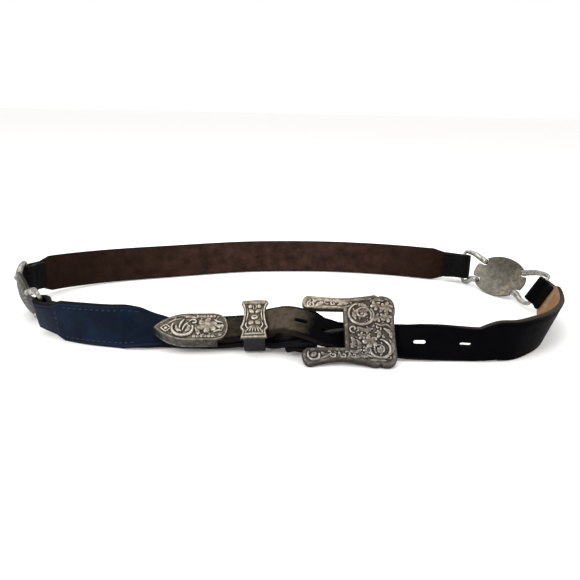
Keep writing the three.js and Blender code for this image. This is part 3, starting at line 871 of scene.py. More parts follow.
@dataclass
class Strap:
    """One leather strap: its route, its folds and its finishes."""

    name: str
    node: str
    rows: Sequence[Row]
    face: FinishedLeather
    edge: FinishedLeather
    flesh: FleshSideLeather
    start_bar: float = 0.0
    end_bar: float = 0.0
    start_tab: float = TAB_LENGTH
    end_tab: float = TAB_LENGTH
    # rubbed gives the wear at each place, which on the buckle strap includes a painted highlight along its
    # edges; toned gives the share of the finish's painted light colour.
    rubbed: Callable[[Sample, float], float] = lambda sample, across: 0.0
    toned: Callable[[Sample, float], float] = lambda sample, across: 0.0
    path: StrapPath = field(init=False)

    def __post_init__(self) -> None:
        """Samples the route."""
        self.path = StrapPath(self.rows)

    def build(self) -> Object:
        """Lofts the strap with its folds and dresses it.

        Returns:
            The strap's object.
        """
        samples = list(self.path.samples)
        if self.start_bar:
            samples = self.path.folded(-1, self.start_bar, self.start_tab)[::-1] + samples
        if self.end_bar:
            samples = samples + self.path.folded(1, self.end_bar, self.end_tab)
        rings, wear, tone = [], [], []
        for index, sample in enumerate(samples):
            before = samples[max(0, index - 1)].point
            after = samples[min(len(samples) - 1, index + 1)].point
            outward = unit(np.cross(unit(after - before), sample.across))
            section = strap_section(sample.width)
            ripple = 0.05 * sin(index * 0.37) + 0.04 * sin(index * 0.113 + 1.0)
            for across, depth, side in section:
                lift = ripple if side is Side.FACE else 0.0
                rings.append(sample.point + sample.across * across + outward * (depth + lift * 0.5))
                wear.append(self.rubbed(sample, across / (sample.width / 2)))
                tone.append(self.toned(sample, across / (sample.width / 2)))
        faces = loft(len(samples), len(section))
        slots = [side.value for _, _, side in section] * (len(samples) - 1) + [Side.EDGE.value] * 2
        materials = [self.face.build(), self.edge.build(), self.flesh.build()]
        piece = make_object(self.name, to_world(rings), faces, materials, slots, np.clip(wear, 0, 1), 50)
        # The tone attribute holds painted light: painted shade on the buckle strap, a painted highlight and
        # sheen on the billet.
        layer = piece.data.attributes.new("tone", "FLOAT", "POINT")
        layer.data.foreach_set("value", np.clip(tone, 0, 1))
        return piece

    def punch(self, piece: Object, holes: Sequence[Triple]) -> None:
        """Cuts slots through the strap.

        Args:
            piece: the strap's object.
            holes: distance along the route, length and width of each slot.
        """
        solids = []
        for along, length, width in holes:
            local, quads = prism(slot_outline(length, width), -LEATHER_THICK, LEATHER_THICK)
            solids.append((Home(*self.path.at(along)[:4]).belt(local), quads))
        cut(piece, BELT_HOME, solids)


def slot_outline(length: float, width: float, steps: int = 12) -> Array:
    """A round-ended slot about the origin.

    Args:
        length: its length, along x.
        width: its width.
        steps: points round each end.

    Returns:
        Its outline.
    """
    straight = (length - width) / 2
    turns = np.linspace(-pi / 2, pi / 2, steps)
    right = np.stack([straight + np.cos(turns) * width / 2, np.sin(turns) * width / 2], 1)
    return np.vstack([right, -right])


@dataclass
class Stitching:
    """Rows of saddle stitches that stand a little proud of a strap's face."""

    path: StrapPath
    pitch: float = 3.4
    length: float = 2.5
    radius: float = 0.34
    proud: float = LEATHER_THICK / 2 + 0.02
    centres: list[tuple[Array, Array, Array, Array]] = field(default_factory=list)

    def along(self, start: float, stop: float, inset: float, upper: bool) -> None:
        """Adds a row beside one edge.

        Args:
            start: where it starts along the route.
            stop: where it ends.
            inset: its distance from the edge.
            upper: whether the edge is the upper one.
        """
        for distance in np.arange(start, stop, self.pitch):
            spot = self.path.at(float(distance))
            across = (spot.width / 2 - inset) * (1 if upper else -1)
            centre = spot.point + spot.across * across + spot.outward * self.proud
            self.centres.append((centre, spot.tangent, spot.across, spot.outward))

    def over(self, distance: float, inset: float) -> None:
        """Adds a row across the strap.

        Args:
            distance: where it is along the route.
            inset: its ends' distance from the edges.
        """
        spot = self.path.at(distance)
        reach = spot.width / 2 - inset
        for across in np.arange(-reach, reach + 0.1, self.pitch):
            centre = spot.point + spot.across * across + spot.outward * self.proud
            self.centres.append((centre, spot.across, spot.tangent, spot.outward))

    def build(self, name: str, thread: WaxedThread) -> Object:
        """Makes one object of all the stitches.

        Args:
            name: the object's name.
            thread: its finish.

        Returns:
            The object.
        """
        rings, sides = 7, 8
        points: list[Array] = []
        faces: Faces = []
        for centre, along, across, out in self.centres:
            faces += loft(rings, sides, len(points))
            for ring in range(rings):
                share = ring / (rings - 1) * 2 - 1
                size = self.radius * max(0.12, (1 - abs(share) ** 3)) ** 0.5
                middle = centre + along * share * self.length / 2 + across * share * 0.18
                middle = middle - out * 0.3 * share**2
                for side in range(sides):
                    turn = 2 * pi * side / sides
                    points.append(middle + across * size * cos(turn) + out * size * sin(turn))
        return make_object(name, to_world(points), faces, [thread.build()])


# Relief


def spiral(centre: Pair, start: float, end: float, angle: float, turns: float) -> Array:
    """Points of a spiral.

    Args:
        centre: its middle in millimetres.
        start: its first radius.
        end: its last radius.
        angle: where it starts, in degrees.
        turns: how far it turns; negative is clockwise.

    Returns:
        Its points.
    """
    share = np.linspace(0, 1, max(10, int(abs(turns) * 30)))
    radius = start + (end - start) * share**0.85
    turn = np.radians(angle) + share * turns * 2 * pi
    return np.stack([centre[0] + radius * np.cos(turn), centre[1] + radius * np.sin(turn)], 1)


def bend(*points: Pair) -> Array:
    """A smooth run of points through a few given ones."""
    table = np.array(points, float)
    return np.array([catmull(table, at, True) for at in np.linspace(0, 1, 7 * (len(table) - 1) + 1)])


class Relief:
    """A metal plate in its own plane: an outline, and a height over it built from strokes, domes and rims."""

    def __init__(self, outline: Array, spacing: float, seed: int, bold: float = 1.0) -> None:
        """Lays a grid over the outline and measures each point's distance to it.

        Args:
            outline: the plate's closed outline in millimetres.
            spacing: the grid's step.
            seed: seed of the ground's stipple.
            bold: how much fuller every stroke and dome is than its drawn size.
        """
        self.bold = bold
        self.outline = outline
        self.spacing = spacing
        low, high = outline.min(0) - spacing, outline.max(0) + spacing
        self.xs = np.arange(low[0], high[0] + spacing, spacing)
        self.ys = np.arange(low[1], high[1] + spacing, spacing)
        self.x, self.y = np.meshgrid(self.xs, self.ys, indexing="ij")
        self.inset = self._inset()
        self.height = np.zeros_like(self.x)
        # Painted highlight added to the brightness, zero unless set.
        self.painted_highlight = np.zeros_like(self.x)
        self.random = np.random.default_rng(seed)

    def _inset(self) -> Array:
        """Measures how deep each grid point lies inside the outline.

        Returns:
            The distances, negative outside.
        """
        best = np.full(self.x.shape, 1e9)
        inside = np.zeros(self.x.shape, bool)
        for start, stop in zip(self.outline, np.roll(self.outline, -1, 0)):
            run = stop - start
            length = float(run @ run) or 1e-9
            share = np.clip(((self.x - start[0]) * run[0] + (self.y - start[1]) * run[1]) / length, 0, 1)
            gap = np.hypot(self.x - start[0] - share * run[0], self.y - start[1] - share * run[1])
            best = np.minimum(best, gap)
            if start[1] != stop[1]:
                crosses = (self.y < start[1]) != (self.y < stop[1])
                meet = start[0] + (self.y - start[1]) * run[0] / run[1]
                inside ^= crosses & (self.x < meet)
        return np.where(inside, best, -best)

    def _window(self, points: Array, reach: float) -> tuple[slice, slice]:
        """The part of the grid near some points.

        Args:
            points: the points.
            reach: how far from them it goes.

        Returns:
            Its rows and columns.
        """
        low, high = points.min(0) - reach, points.max(0) + reach
        first = np.searchsorted(self.xs, low[0]), np.searchsorted(self.ys, low[1])
        last = np.searchsorted(self.xs, high[0]) + 1, np.searchsorted(self.ys, high[1]) + 1
        return slice(max(first[0] - 1, 0), last[0]), slice(max(first[1] - 1, 0), last[1])

    def stroke(
        self, points: Array, width: float, height: float, taper: Pair = (0.35, 0.35),
        vein: float = 0.0,
    ) -> None:
        """Raises a rounded ridge along points.

        Args:
            points: the ridge's middle line.
            width: its full width at its widest.
            height: its height.
            taper: the share of the width that is left at its start and its end.
            vein: depth of a groove along its middle, as a share of the height.
        """
        shares = np.linspace(0, 1, len(points))
        swell = np.sin(np.pi * np.clip(shares, 0.02, 0.98)) ** 0.6
        ends = taper[0] * (1 - shares) + taper[1] * shares
        halves = self.bold * width / 2 * (ends + (1 - ends) * swell)
        rows, columns = self._window(points, width * self.bold)
        x, y = self.x[rows, columns], self.y[rows, columns]
        top = self.height[rows, columns]
        for index in range(len(points) - 1):
            start, run = points[index], points[index + 1] - points[index]
            length = float(run @ run) or 1e-9
            share = np.clip(((x - start[0]) * run[0] + (y - start[1]) * run[1]) / length, 0, 1)
            gap = np.hypot(x - start[0] - share * run[0], y - start[1] - share * run[1])
            half = halves[index] + (halves[index + 1] - halves[index]) * share
            ratio = gap / half
            rise = height * np.sqrt(np.clip(1 - ratio**2, 0, 1)) * (0.55 + 0.45 * np.minimum(1, half / 0.6))
            rise = rise * (1 - vein * np.exp(-((ratio / 0.22) ** 2)))
            top[...] = np.maximum(top, np.where(ratio < 1, rise, 0))

    def dome(
        self, centre: Pair, long: float, short: float, turn: float, height: float,
        dimple: float = 0.0,
    ) -> None:
        """Raises an oval dome.

        Args:
            centre: its middle.
            long: its length.
            short: its width.
            turn: its turn in degrees.
            height: its height.
            dimple: depth of a dimple in its middle, as a share of the height.
        """
        c, s = cos(radians(turn)), sin(radians(turn))
        long, short = long * self.bold, short * self.bold
        middle = np.array([centre])
        rows, columns = self._window(middle, max(long, short))
        x, y = self.x[rows, columns] - centre[0], self.y[rows, columns] - centre[1]
        ratio = np.hypot((x * c + y * s) / (long / 2), (y * c - x * s) / (short / 2))
        rise = height * np.sqrt(np.clip(1 - ratio**2, 0, 1)) * (1 - dimple * np.exp(-((ratio / 0.4) ** 2)))
        top = self.height[rows, columns]
        top[...] = np.maximum(top, rise)

    def flower(self, centre: Pair, size: float, petals: int, turn: float, height: float) -> None:
        """Raises a flower: a ring of pointed, grooved petals round a dotted eye.

        Args:
            centre: its middle.
            size: its width.
            petals: how many petals it has.
            turn: the first petal's direction in degrees.
            height: its height.
        """
        for petal in range(petals):
            angle = radians(turn + 360 * petal / petals)
            way = np.array([cos(angle), sin(angle)])
            side = np.array([-way[1], way[0]])
            root = np.array(centre) + way * size * 0.12
            tip = np.array(centre) + way * size * (0.56 + 0.05 * (petal % 2))
            bulge = (root + tip) / 2 + side * size * 0.07
            self.stroke(bend(tuple(root), tuple(bulge), tuple(tip)), size * 0.38, height, (0.55, 0.2), 0.4)
        self.dome(centre, size * 0.24, size * 0.24, 0, height * 1.1, 0.4)

    def scatter(self, count: int, length: float, width: float, height: float) -> None:
        """Fills the bare ground with small curled leaves at random places.

        Args:
            count: how many places are tried; one on a ridge or near the edge stays bare.
            length: radius of a leaf's curl.
            width: a leaf's width.
            height: its greatest height.
        """
        margin, bare = 2.4, 0.15
        for row, column, spin, share in self.random.random((count, 4)):
            place = int(row * self.x.shape[0]), int(column * self.x.shape[1])
            if self.inset[place] < margin or self.height[place] > bare:
                continue
            at = (float(self.x[place]), float(self.y[place]))
            turns = 0.45 if share > 0.5 else -0.45
            curl = spiral(at, length * (0.7 + 0.6 * share), length * 0.3, spin * 360, turns)
            self.stroke(curl, width * (0.7 + 0.5 * share), height * (0.55 + 0.45 * share), (0.5, 0.3))

    def leaf(self, points: Array, width: float, height: float, lobes: int = 3) -> None:
        """Raises a veined leaf with small side lobes.

        Args:
            points: its middle line.
            width: its width.
            height: its height.
            lobes: how many pairs of lobes it has.
        """
        self.stroke(points, width, height, (0.2, 0.1), 0.45)
        for lobe in range(lobes):
            at = (lobe + 1) / (lobes + 1)
            index = int(at * (len(points) - 1))
            along = points[min(index + 1, len(points) - 1)] - points[max(index - 1, 0)]
            along = along / (np.linalg.norm(along) or 1)
            out = np.array([-along[1], along[0]])
            for side in (-1, 1):
                tip = points[index] + along * width * 0.55 + out * side * width * 0.62
                line = np.array([points[index], (points[index] + tip) / 2 + out * side * 0.12, tip])
                self.stroke(line, width * 0.42, height * 0.85, (0.8, 0.3))

    def beads(self, points: Array, size: float, pitch: float, height: float) -> None:
        """Raises a row of beads.

        Args:
            points: the line that they follow.
            size: a bead's width.
            pitch: their distance.
            height: their height.
        """
        steps = np.linalg.norm(np.diff(points, axis=0), axis=1)
        along = np.concatenate([[0], np.cumsum(steps)])
        for distance in np.arange(size / 2, along[-1], pitch):
            x, y = (float(np.interp(distance, along, points[:, axis])) for axis in (0, 1))
            self.dome((x, y), size, size, 0, height)

    def rim(self, start: float, width: float, height: float, rope: float = 0.0) -> None:
        """Raises a rim that follows the outline, from start to start + width inside it.

        Args:
            start: distance from the outline to the rim.
            width: the rim's width.
            height: its height.
            rope: pitch of slanting grooves across it, or 0 for a plain rim.
        """
        ratio = (self.inset - start - width / 2) / (width / 2)
        rise = height * np.sqrt(np.clip(1 - ratio**2, 0, 1))
        if rope:
            rise = rise * (0.7 + 0.3 * np.sin((self.x - self.y) * 2 * pi / rope))
        self.height = np.maximum(self.height, rise)

    def soften(self, passes: int = 1) -> None:
        """Takes the sharpness of the casting off the height."""
        for _ in range(passes):
            self.height = blurred(self.height, 1) * 0.5 + self.height * 0.5

    def wear(self) -> Array:
        """How bright each point is: high and proud places are rubbed, the ground is black, and a painted
        highlight is added where one is set.

        Returns:
            The brightness over the grid, from 0 to 1.
        """
        proud = self.height - blurred(self.height, max(2, round(0.9 / self.spacing)))
        level = self.height / max(float(self.height.max()), 1e-6)
        return np.clip(0.34 + 0.28 * level + 1.35 * proud + self.painted_highlight, 0, 1)

    def build(
        self, name: str, base: float, back: float, home: Home, material: Material,
        stipple: float = 0.07, edge_round: float = 0.7,
    ) -> Object:
        """Makes the plate's solid.

        Args:
            name: the object's name.
            base: level of the ground in the plate's own depth.
            back: level of the plate's back.
            home: where the plate stands.
            material: its finish.
            stipple: height of the ground's punch marks.
            edge_round: radius of the rounded outer edge.

        Returns:
            The object.
        """
        noise = blurred(self.random.random(self.x.shape), 1)
        ground = np.clip(1 - self.height / 0.25, 0, 1)
        surface = self.height + stipple * (noise - 0.5) * 2 * ground
        drop = np.clip(1 - self.inset / edge_round, 0, 1)
        surface = surface - edge_round * (1 - np.sqrt(np.clip(1 - drop**2, 0, 1)))
        wear = np.clip(self.wear() + 0.3 * (noise - 0.5) * ground, 0, 1)
        middle = (self.inset[:-1, :-1] + self.inset[1:, :-1] + self.inset[:-1, 1:] + self.inset[1:, 1:]) / 4
        width = self.x.shape[1]
        corners = (row * width + column for row, column in np.argwhere(middle > 0))
        quads = [(at, at + width, at + width + 1, at + 1) for at in corners]
        used = np.unique(np.array(quads))
        renumber = {int(old): new for new, old in enumerate(used)}
        slope_x, slope_y = np.gradient(self.inset, self.spacing)
        inset = self.inset.ravel()[used]
        local = np.stack([self.x.ravel()[used], self.y.ravel()[used], base + surface.ravel()[used]], 1)
        quads = [tuple(renumber[v] for v in quad) for quad in quads]
        counts: dict[tuple[int, int], int] = {}
        for quad in quads:
            for a, b in zip(quad, quad[1:] + quad[:1]):
                key = (min(a, b), max(a, b))
                counts[key] = counts.get(key, 0) + 1
        border = {v for key, count in counts.items() if count == 1 for v in key}
        for vertex in border:
            slope = np.array([slope_x.ravel()[used[vertex]], slope_y.ravel()[used[vertex]]])
            slope = slope / (np.linalg.norm(slope) or 1)
            local[vertex, :2] -= slope * inset[vertex]
        piece = make_object(name, home.metres(local), quads, [material], None, wear.ravel()[used])
        drop_to = home.metres([[0, 0, back]])[0]
        out = unit(home.out)
        bm = bmesh.new()
        bm.from_mesh(piece.data)
        edges = [edge for edge in bm.edges if edge.is_boundary]
        made = bmesh.ops.extrude_edge_only(bm, edges=edges)["geom"]
        for vertex in (item for item in made if isinstance(item, bmesh.types.BMVert)):
            place = np.array(vertex.co)
            vertex.co = Vector(place - out * float((place - drop_to) @ out))
        edges = [item for item in made if isinstance(item, bmesh.types.BMEdge)]
        bmesh.ops.edgeloop_fill(bm, edges=[edge for edge in edges if edge.is_boundary])
        face_outwards(bm)
        bm.to_mesh(piece.data)
        bm.free()
        piece.data.set_sharp_from_angle(angle=radians(60))
        return piece


def blurred(values: Array, reach: int) -> Array:
    """Averages a grid over a square round each cell.

    Args:
        values: the grid.
        reach: how many cells the square goes to each side.

    Returns:
        The averages.
    """
    padded = np.pad(values, reach + 1, mode="edge")
    for axis in (0, 1):
        total = np.cumsum(padded, axis)
        ahead = np.roll(total, -reach, axis)
        behind = np.roll(total, reach + 1, axis)
        padded = (ahead - behind) / (2 * reach + 1)
    cut_by = reach + 1
    return padded[cut_by:-cut_by, cut_by:-cut_by]


def curve_outline(start: Pair, *runs: Sequence[Pair]) -> Array:
    """A closed outline from runs of one point (a line), two or three (a bend that they steer).

    Args:
        start: its first point.
        runs: each run's points after the end of the run before.

    Returns:
        The outline's points, without its last one repeated.
    """
    points: list[Array] = []
    for run in runs:
        table = np.array([start, *run], float)
        start = run[-1]
        degree = len(table) - 1
        steps = 1 if degree == 1 else 14
        for step in range(steps):
            t = step / steps
            weights = [comb(degree, k) * (1 - t) ** (degree - k) * t**k for k in range(degree + 1)]
            points.append(np.array(weights) @ table)
    return np.array(points)


def joined(name: str, pieces: Sequence[Object]) -> Object:
    """Joins several objects into the first one.

    Args:
        name: the name of the result.
        pieces: the objects.

    Returns:
        The joined object.
    """
    with bpy.context.temp_override(
        active_object=pieces[0], object=pieces[0], selected_editable_objects=list(pieces),
        selected_objects=list(pieces),
    ):
        bpy.ops.object.join()
    pieces[0].name = name
    return pieces[0]


# Buckle set


@dataclass
class BuckleSet:
    """The engraved buckle frame with its bar, the tongue, the keeper and the belt's tip."""

    silver: AntiquedSilver
    warm_silver: AntiquedSilver
    # A darker copy of the silver, painted shade, for the keeper's band, the tongue and the tip's cup.
    shaded_silver: AntiquedSilver
    buckle_path: StrapPath
    frame_length: float = 53.4
    frame_height: float = 49.8
    frame_shift: float = 0.7
    frame_thick: float = 3.2
    frame_lean: float = 57.0
    plate_length: float = 29.4
    opening: float = 26.5
    opening_shift: float = 0.95
    bar_radius: float = 1.4
    bar_inset: float = 4.0
    bar_drop: float = 3.2
    centre: Triple = (37.7, -77.2, 14.58)
    tongue_radius: float = 1.2
    keeper_x: float = -15.8
    keeper_skew: float = 4.0
    keeper_drop: float = 0.9
    keeper_depth: float = 11.2
    keeper_inside: float = 24.2
    keeper_band: float = 12.0
    keeper_wall: float = 1.1
    tip_start: Triple = (-73.5, -75.5, 11.9)
    tip_end: Triple = (-31.0, -69.7, 11.1)
    tip_thick: float = 5.8
    tip_width: float = 22.8
    tip_length: float = 42.5

    def frame_home(self) -> Home:
        """Where the buckle frame stands."""
        return Home(np.array(self.centre), *band_frame(np.array([1.0, 0, 0]), self.frame_lean))

    def frame_outline(self) -> Array:
        """Draws the C-shaped outline with its shaped edges.

        Returns:
            Its points, from the window's lower corner.
        """
        left, right = -self.frame_length / 2, self.frame_length / 2
        high = self.frame_height / 2 + self.frame_shift
        low = self.frame_shift - self.frame_height / 2
        above = self.opening_shift + self.opening / 2
        below = self.opening_shift - self.opening / 2
        plate = right - self.plate_length
        return curve_outline(
            (plate, below),
            ((plate, above),),
            ((left + 5, above),),
            ((left + 0.6, above + 0.3), (left + 0.2, above + 4.6)),
            ((left + 0.8, high - 1.2), (left + 4.6, high - 1.4)),
            ((plate - 9, high - 2.6), (plate, high - 2.6)),
            ((plate + 9, high - 2.2), (right - 10.1, high + 0.2)),
            ((right - 8.4, high - 1.6), (right - 7.2, high - 0.6)),
            ((right - 0.8, high - 0.4), (right + 0.8, high - 6)),
            ((right + 1.5, high - 11), (right + 0.2, high - 15)),
            ((right - 0.8, 0), (right - 0.6, low + 8)),
            ((right - 0.8, low + 1.4), (right - 6.2, low + 0.2)),
            ((right - 8.6, low + 0.2), (right - 10.2, low + 1.5)),
            ((right - 11.6, low + 0.2), (right - 14.2, low + 0.6)),
            ((plate + 8, low + 3.4), (plate - 1, low + 4)),
            ((left + 13, low + 3.4), (left + 5, low + 0.3)),
            ((left + 0.8, low + 0.6), (left + 0.2, below - 4.6)),
            ((left + 0.6, below - 0.3), (left + 5, below)),
            ((plate, below),),
        )

    def frame_relief(self) -> Relief:
        """Draws the buckle's scrollwork: rims, spirals at the arms' ends, scrolls and flowers on the plate.

        Returns:
            The relief.
        """
        relief = Relief(self.frame_outline(), 0.17, 11, 1.28)
        relief.rim(0.15, 2.5, 0.42)
        relief.rim(0.1, 0.6, 0.34, 0.9)
        upper_stem = bend((-22.4, 17.4), (-17, 20.6), (-9, 20.2), (-1, 20), (6, 21.4), (14, 22))
        relief.stroke(upper_stem, 2.0, 0.6, (0.4, 0.5))
        relief.stroke(spiral((-21.2, 17.2), 2.6, 0.5, 110, 1.35), 1.3, 0.85, (0.9, 0.6))
        relief.stroke(bend((-15, 15.2), (-9, 15.8), (-3, 15.4), (2.4, 17.2), (6, 19.6)), 1.2, 0.55)
        relief.stroke(spiral((-8.4, 18.2), 1.9, 0.4, 20, 1.2), 1.1, 0.8)
        relief.stroke(spiral((8, 10.6), 8.0, 6.6, 112, 0.78), 1.7, 0.95, (0.35, 0.8))
        relief.stroke(spiral((8.4, 11.2), 5.6, 1.2, -40, 1.15), 1.5, 0.9, (0.7, 0.5))
        relief.stroke(bend((15.4, 4.4), (18.4, 3.0), (21.6, 3.6), (24, 1.4)), 1.3, 0.7)
        relief.stroke(spiral((2.6, 0.2), 2.7, 0.7, -80, -0.9), 1.2, 0.85)
        relief.stroke(spiral((16.4, -13.4), 6.6, 5.2, 80, -0.72), 1.7, 0.95, (0.4, 0.8))
        relief.stroke(spiral((16.6, -13.6), 3.6, 0.6, 150, -1.15), 1.2, 0.85)
        relief.stroke(bend((8, -16.6), (11.4, -18.2), (14.6, -18.6)), 1.2, 0.7)
        relief.stroke(spiral((-19.6, -17.8), 3.9, 2.6, 150, 0.62), 1.5, 0.95, (0.5, 0.9))
        relief.stroke(bend((-16, -20), (-12.6, -18.4), (-10.2, -16.4)), 1.4, 0.85)
        relief.dome((-20, -17.4), 3.4, 2.6, 60, 0.9, 0.3)
        for at, size in ((-9.2, 1.9), (-3.6, 1.7), (2.0, 1.6)):
            relief.stroke(spiral((at, -17.8), size, 0.4, 160, 1.1), 1.1, 0.85)
            relief.leaf(bend((at + 2, -19.2), (at + 3.4, -17.4), (at + 3, -15.4)), 1.6, 0.7, 1)
        for width, height, lobes, *line in (
            (2.4, 0.75, 2, (-18.6, 15.8), (-16.6, 17.6), (-14.2, 19.2)),
            (2.2, 0.75, 2, (-5.6, 17), (-3, 18), (0.6, 18.6)),
            (2.3, 0.8, 3, (4.2, 7.2), (3.6, 10.6), (5.4, 14)),
            (2.3, 0.8, 3, (11.6, 13.6), (10.2, 16.4), (7.6, 18.2)),
            (2.0, 0.8, 2, (13.6, 20.4), (17.4, 21.6), (21, 20.6)),
            (1.8, 0.7, 1, (18.8, 12.6), (19.6, 14.4), (19.4, 16.6)),
            (2.2, 0.7, 3, (5.4, 1.4), (9, -0.6), (13.6, 0.8)),
            (2.2, 0.8, 3, (20, 0.8), (23.4, -2), (23.6, -5.6)),
            (2.2, 0.8, 2, (15.8, -5.6), (17, -3), (16.2, -0.4)),
            (2.2, 0.8, 3, (22.6, -7), (24, -12), (21.4, -17.4)),
            (2.4, 0.85, 3, (1.2, -5.8), (2.4, -8.6), (1.4, -11.4)),
            (2.2, 0.75, 2, (4.2, -7.4), (5.6, -10.6), (4.4, -13.4)),
            (2.2, 0.8, 2, (0, -15), (3.2, -15.6), (6.6, -13.8)),
            (2.4, 0.8, 3, (2.4, -19.6), (5.4, -18), (9.6, -18.6)),
            (2.0, 0.75, 3, (10.6, -20.6), (14.6, -20.4), (19.6, -20.8)),
            (2.0, 0.75, 1, (-15.8, -16), (-14, -17.4), (-11.4, -17.6)),
        ):
            relief.leaf(bend(*line), width, height, lobes)
        for centre, size, petals, turn, height in (
            ((9, 12.6), 4.6, 5, 15, 0.85),
            ((16.6, 17.2), 5.4, 5, 40, 0.95),
            ((22.6, 15.8), 6.2, 6, 10, 1.0),
            ((21.8, 8.8), 5.8, 5, 70, 0.95),
            ((16.6, 8.2), 4.8, 5, 0, 0.85),
            ((11.6, -8.4), 7.2, 5, 30, 1.05),
            ((7.2, -4.6), 4.2, 5, 10, 0.85),
            ((16.8, -13.6), 3.4, 5, 0, 0.9),
            ((9.4, -14.6), 3.8, 5, 20, 0.85),
        ):
            relief.flower(centre, size, petals, turn, height)
        relief.beads(bend((-21, 13.9), (-12, 13.9), (-3.4, 13.9)), 0.62, 0.74, 0.28)
        relief.beads(bend((-1.0, 11.4), (-1.0, 0), (-1.0, -11.4)), 0.62, 0.74, 0.28)
        relief.scatter(420, 1.0, 0.85, 0.7)
        # Painted highlight: the upper arm is painted brighter, as lit from above.
        upper_arm_highlight = np.clip((relief.y - 12) / 3, 0, 1) * np.clip((4 - relief.x) / 10, 0, 1)
        relief.painted_highlight = 0.24 * upper_arm_highlight
        relief.soften(1)
        return relief

    def build_frame(self) -> Object:
        """Makes the frame and its bar on two lugs, as one soldered piece.

        Returns:
            The frame's object.
        """
        home = self.frame_home()
        material = self.silver.build()
        half = self.frame_thick / 2
        plate = self.frame_relief().build("plate", half - 0.5, -half, home, material)
        length = self.opening + 4
        rod = Rod(
            np.array([[0, length * share, 0] for share in (-0.5, -0.25, 0.25, 0.5)]),
            (self.bar_radius,) * 4,
        )
        points, faces = rod.mesh(16, 12)
        points += [self.bar_inset - self.frame_length / 2, self.opening_shift, -self.bar_drop]
        wear = np.full(len(points), 0.6)
        parts = [plate, make_object("bar", home.metres(points), faces, [material], None, wear)]
        top = 0.2 - half
        for side in (-1, 1):
            reach = self.opening_shift + side * (self.opening / 2 + 1)
            middle = np.array([self.bar_inset - self.frame_length / 2, reach, 0])
            local, quads = prism(rounded_box(1.7, 1.0, 0.4), -self.bar_drop - self.bar_radius, top)
            wear = np.full(len(local), 0.4)
            parts.append(make_object("lug", home.metres(local + middle), quads, [material], None, wear))
        return joined("buckle_engraved", parts)

    def build_tongue(self) -> Object:
        """Makes the tongue: a rolled eye round the bar and a tapered pin.

        Returns:
            The tongue's object.
        """
        bar_x = self.bar_inset - self.frame_length / 2
        plate_x = self.frame_length / 2 - self.plate_length
        inner = self.bar_radius + 0.4
        eye = np.array([[cos(t), sin(t)] for t in np.linspace(0, 2 * pi, 33)[:-1]])
        wide = 5.2 - 0.8 - 0.6
        points, faces = ring_solid(eye * (inner + 1.2), eye * inner, -wide / 2, wide / 2)
        points = np.stack([points[:, 0] + bar_x, points[:, 2], points[:, 1] - self.bar_drop], 1)
        pin = Rod(
            np.array([
                [bar_x + inner + 0.5, -0.7, -self.bar_drop - 0.3], [bar_x + 8, -1.3, 2.2 - self.bar_drop],
                [plate_x - 5, -1.3, 1.2], [plate_x - 0.7, -1.3, 2.6],
            ]),
            (self.tongue_radius, self.tongue_radius, self.tongue_radius * 0.9, self.tongue_radius * 0.6),
        )
        pin_points, pin_faces = pin.mesh(14, 30)
        faces = list(faces) + [tuple(v + len(points) for v in face) for face in pin_faces]
        points = np.vstack([points, pin_points])
        # The tongue takes the darker silver at wear 0, painted shade where it lies under the billet.
        return make_object("tongue_pin", self.frame_home().metres(points), faces, [self.shaded_silver.build()])

    def keeper_home(self) -> Home:
        """Finds where the keeper stands, hung on the lower edge of the buckle strap.

        Returns:
            Its frame.
        """
        spot = self.buckle_path.at(self.buckle_path.distance_at_x(self.keeper_x))
        middle = spot.point + spot.outward * ((self.keeper_depth - LEATHER_THICK) / 2 - 0.4)
        middle = middle + spot.across * ((self.keeper_inside - NARROW) / 2 - self.keeper_drop)
        turn = radians(self.keeper_skew)
        along = spot.tangent * cos(turn) + spot.across * sin(turn)
        across = spot.across * cos(turn) - spot.tangent * sin(turn)
        return Home(middle, along, across, spot.outward)

    def keeper_relief(self) -> Relief:
        """Draws the keeper's plate: a flared top band, petals round an oval eye, fans and cusped sides.

        Returns:
            The relief.
        """
        outline = curve_outline(
            (7.4, 16.8),
            ((2, 17.5), (-2, 17.5), (-7.4, 16.8)),
            ((-8.6, 15.4), (-7.6, 13.2)),
            ((-5.8, 9), (-6.4, 3)),
            ((-6.8, -3), (-7.9, -5.8)),
            ((-8.5, -7), (-7.7, -8.2)),
            ((-6.4, -9.6), (-7, -12)),
            ((-7.7, -15), (-7.2, -15.7)),
            ((7.2, -15.7),),
            ((7.7, -15), (7, -12)),
            ((6.4, -9.6), (7.7, -8.2)),
            ((8.5, -7), (7.9, -5.8)),
            ((6.8, -3), (6.4, 3)),
            ((5.8, 9), (7.6, 13.2)),
            ((8.6, 15.4), (7.4, 16.8)),
        )
        relief = Relief(outline, 0.14, 5, 1.15)
        relief.stroke(np.array([[-5.4, 15.1], [0, 15.4], [5.4, 15.1]]), 3.2, 0.75, (0.95, 0.95))
        relief.rim(0.1, 1.5, 0.7)
        for side in (-1, 1):
            relief.dome((side * 2.6, 11.2), 2.6, 3.2, side * 12, 1.0)
            relief.stroke(bend((side * 0.5, 8.6), (side * 0.9, 11), (side * 0.5, 13)), 0.8, 0.7)
            relief.dome((side * 2.1, 7.0), 3.8, 2.7, side * 38, 1.0, 0.15)
            relief.stroke(bend((side * 4.6, 10), (side * 3.9, 5), (side * 4.6, -1)), 1.0, 0.75)
            relief.dome((side * 1.9, -3.0), 3.5, 3.0, side * -50, 1.0, 0.15)
            relief.stroke(bend((side * 4.2, -2.6), (side * 4.8, -5.4), (side * 3.4, -8.2)), 1.1, 0.8)
            for fan in (0.6, 1.8, 3.0):
                rib = bend((side * fan * 0.5, -5.6), (side * fan, -8.0), (side * fan * 1.5, -10.2))
                relief.stroke(rib, 1.0, 0.75)
            relief.stroke(bend((side * 5.2, -9.4), (side * 4.6, -11), (side * 5, -12.6)), 1.1, 0.7)
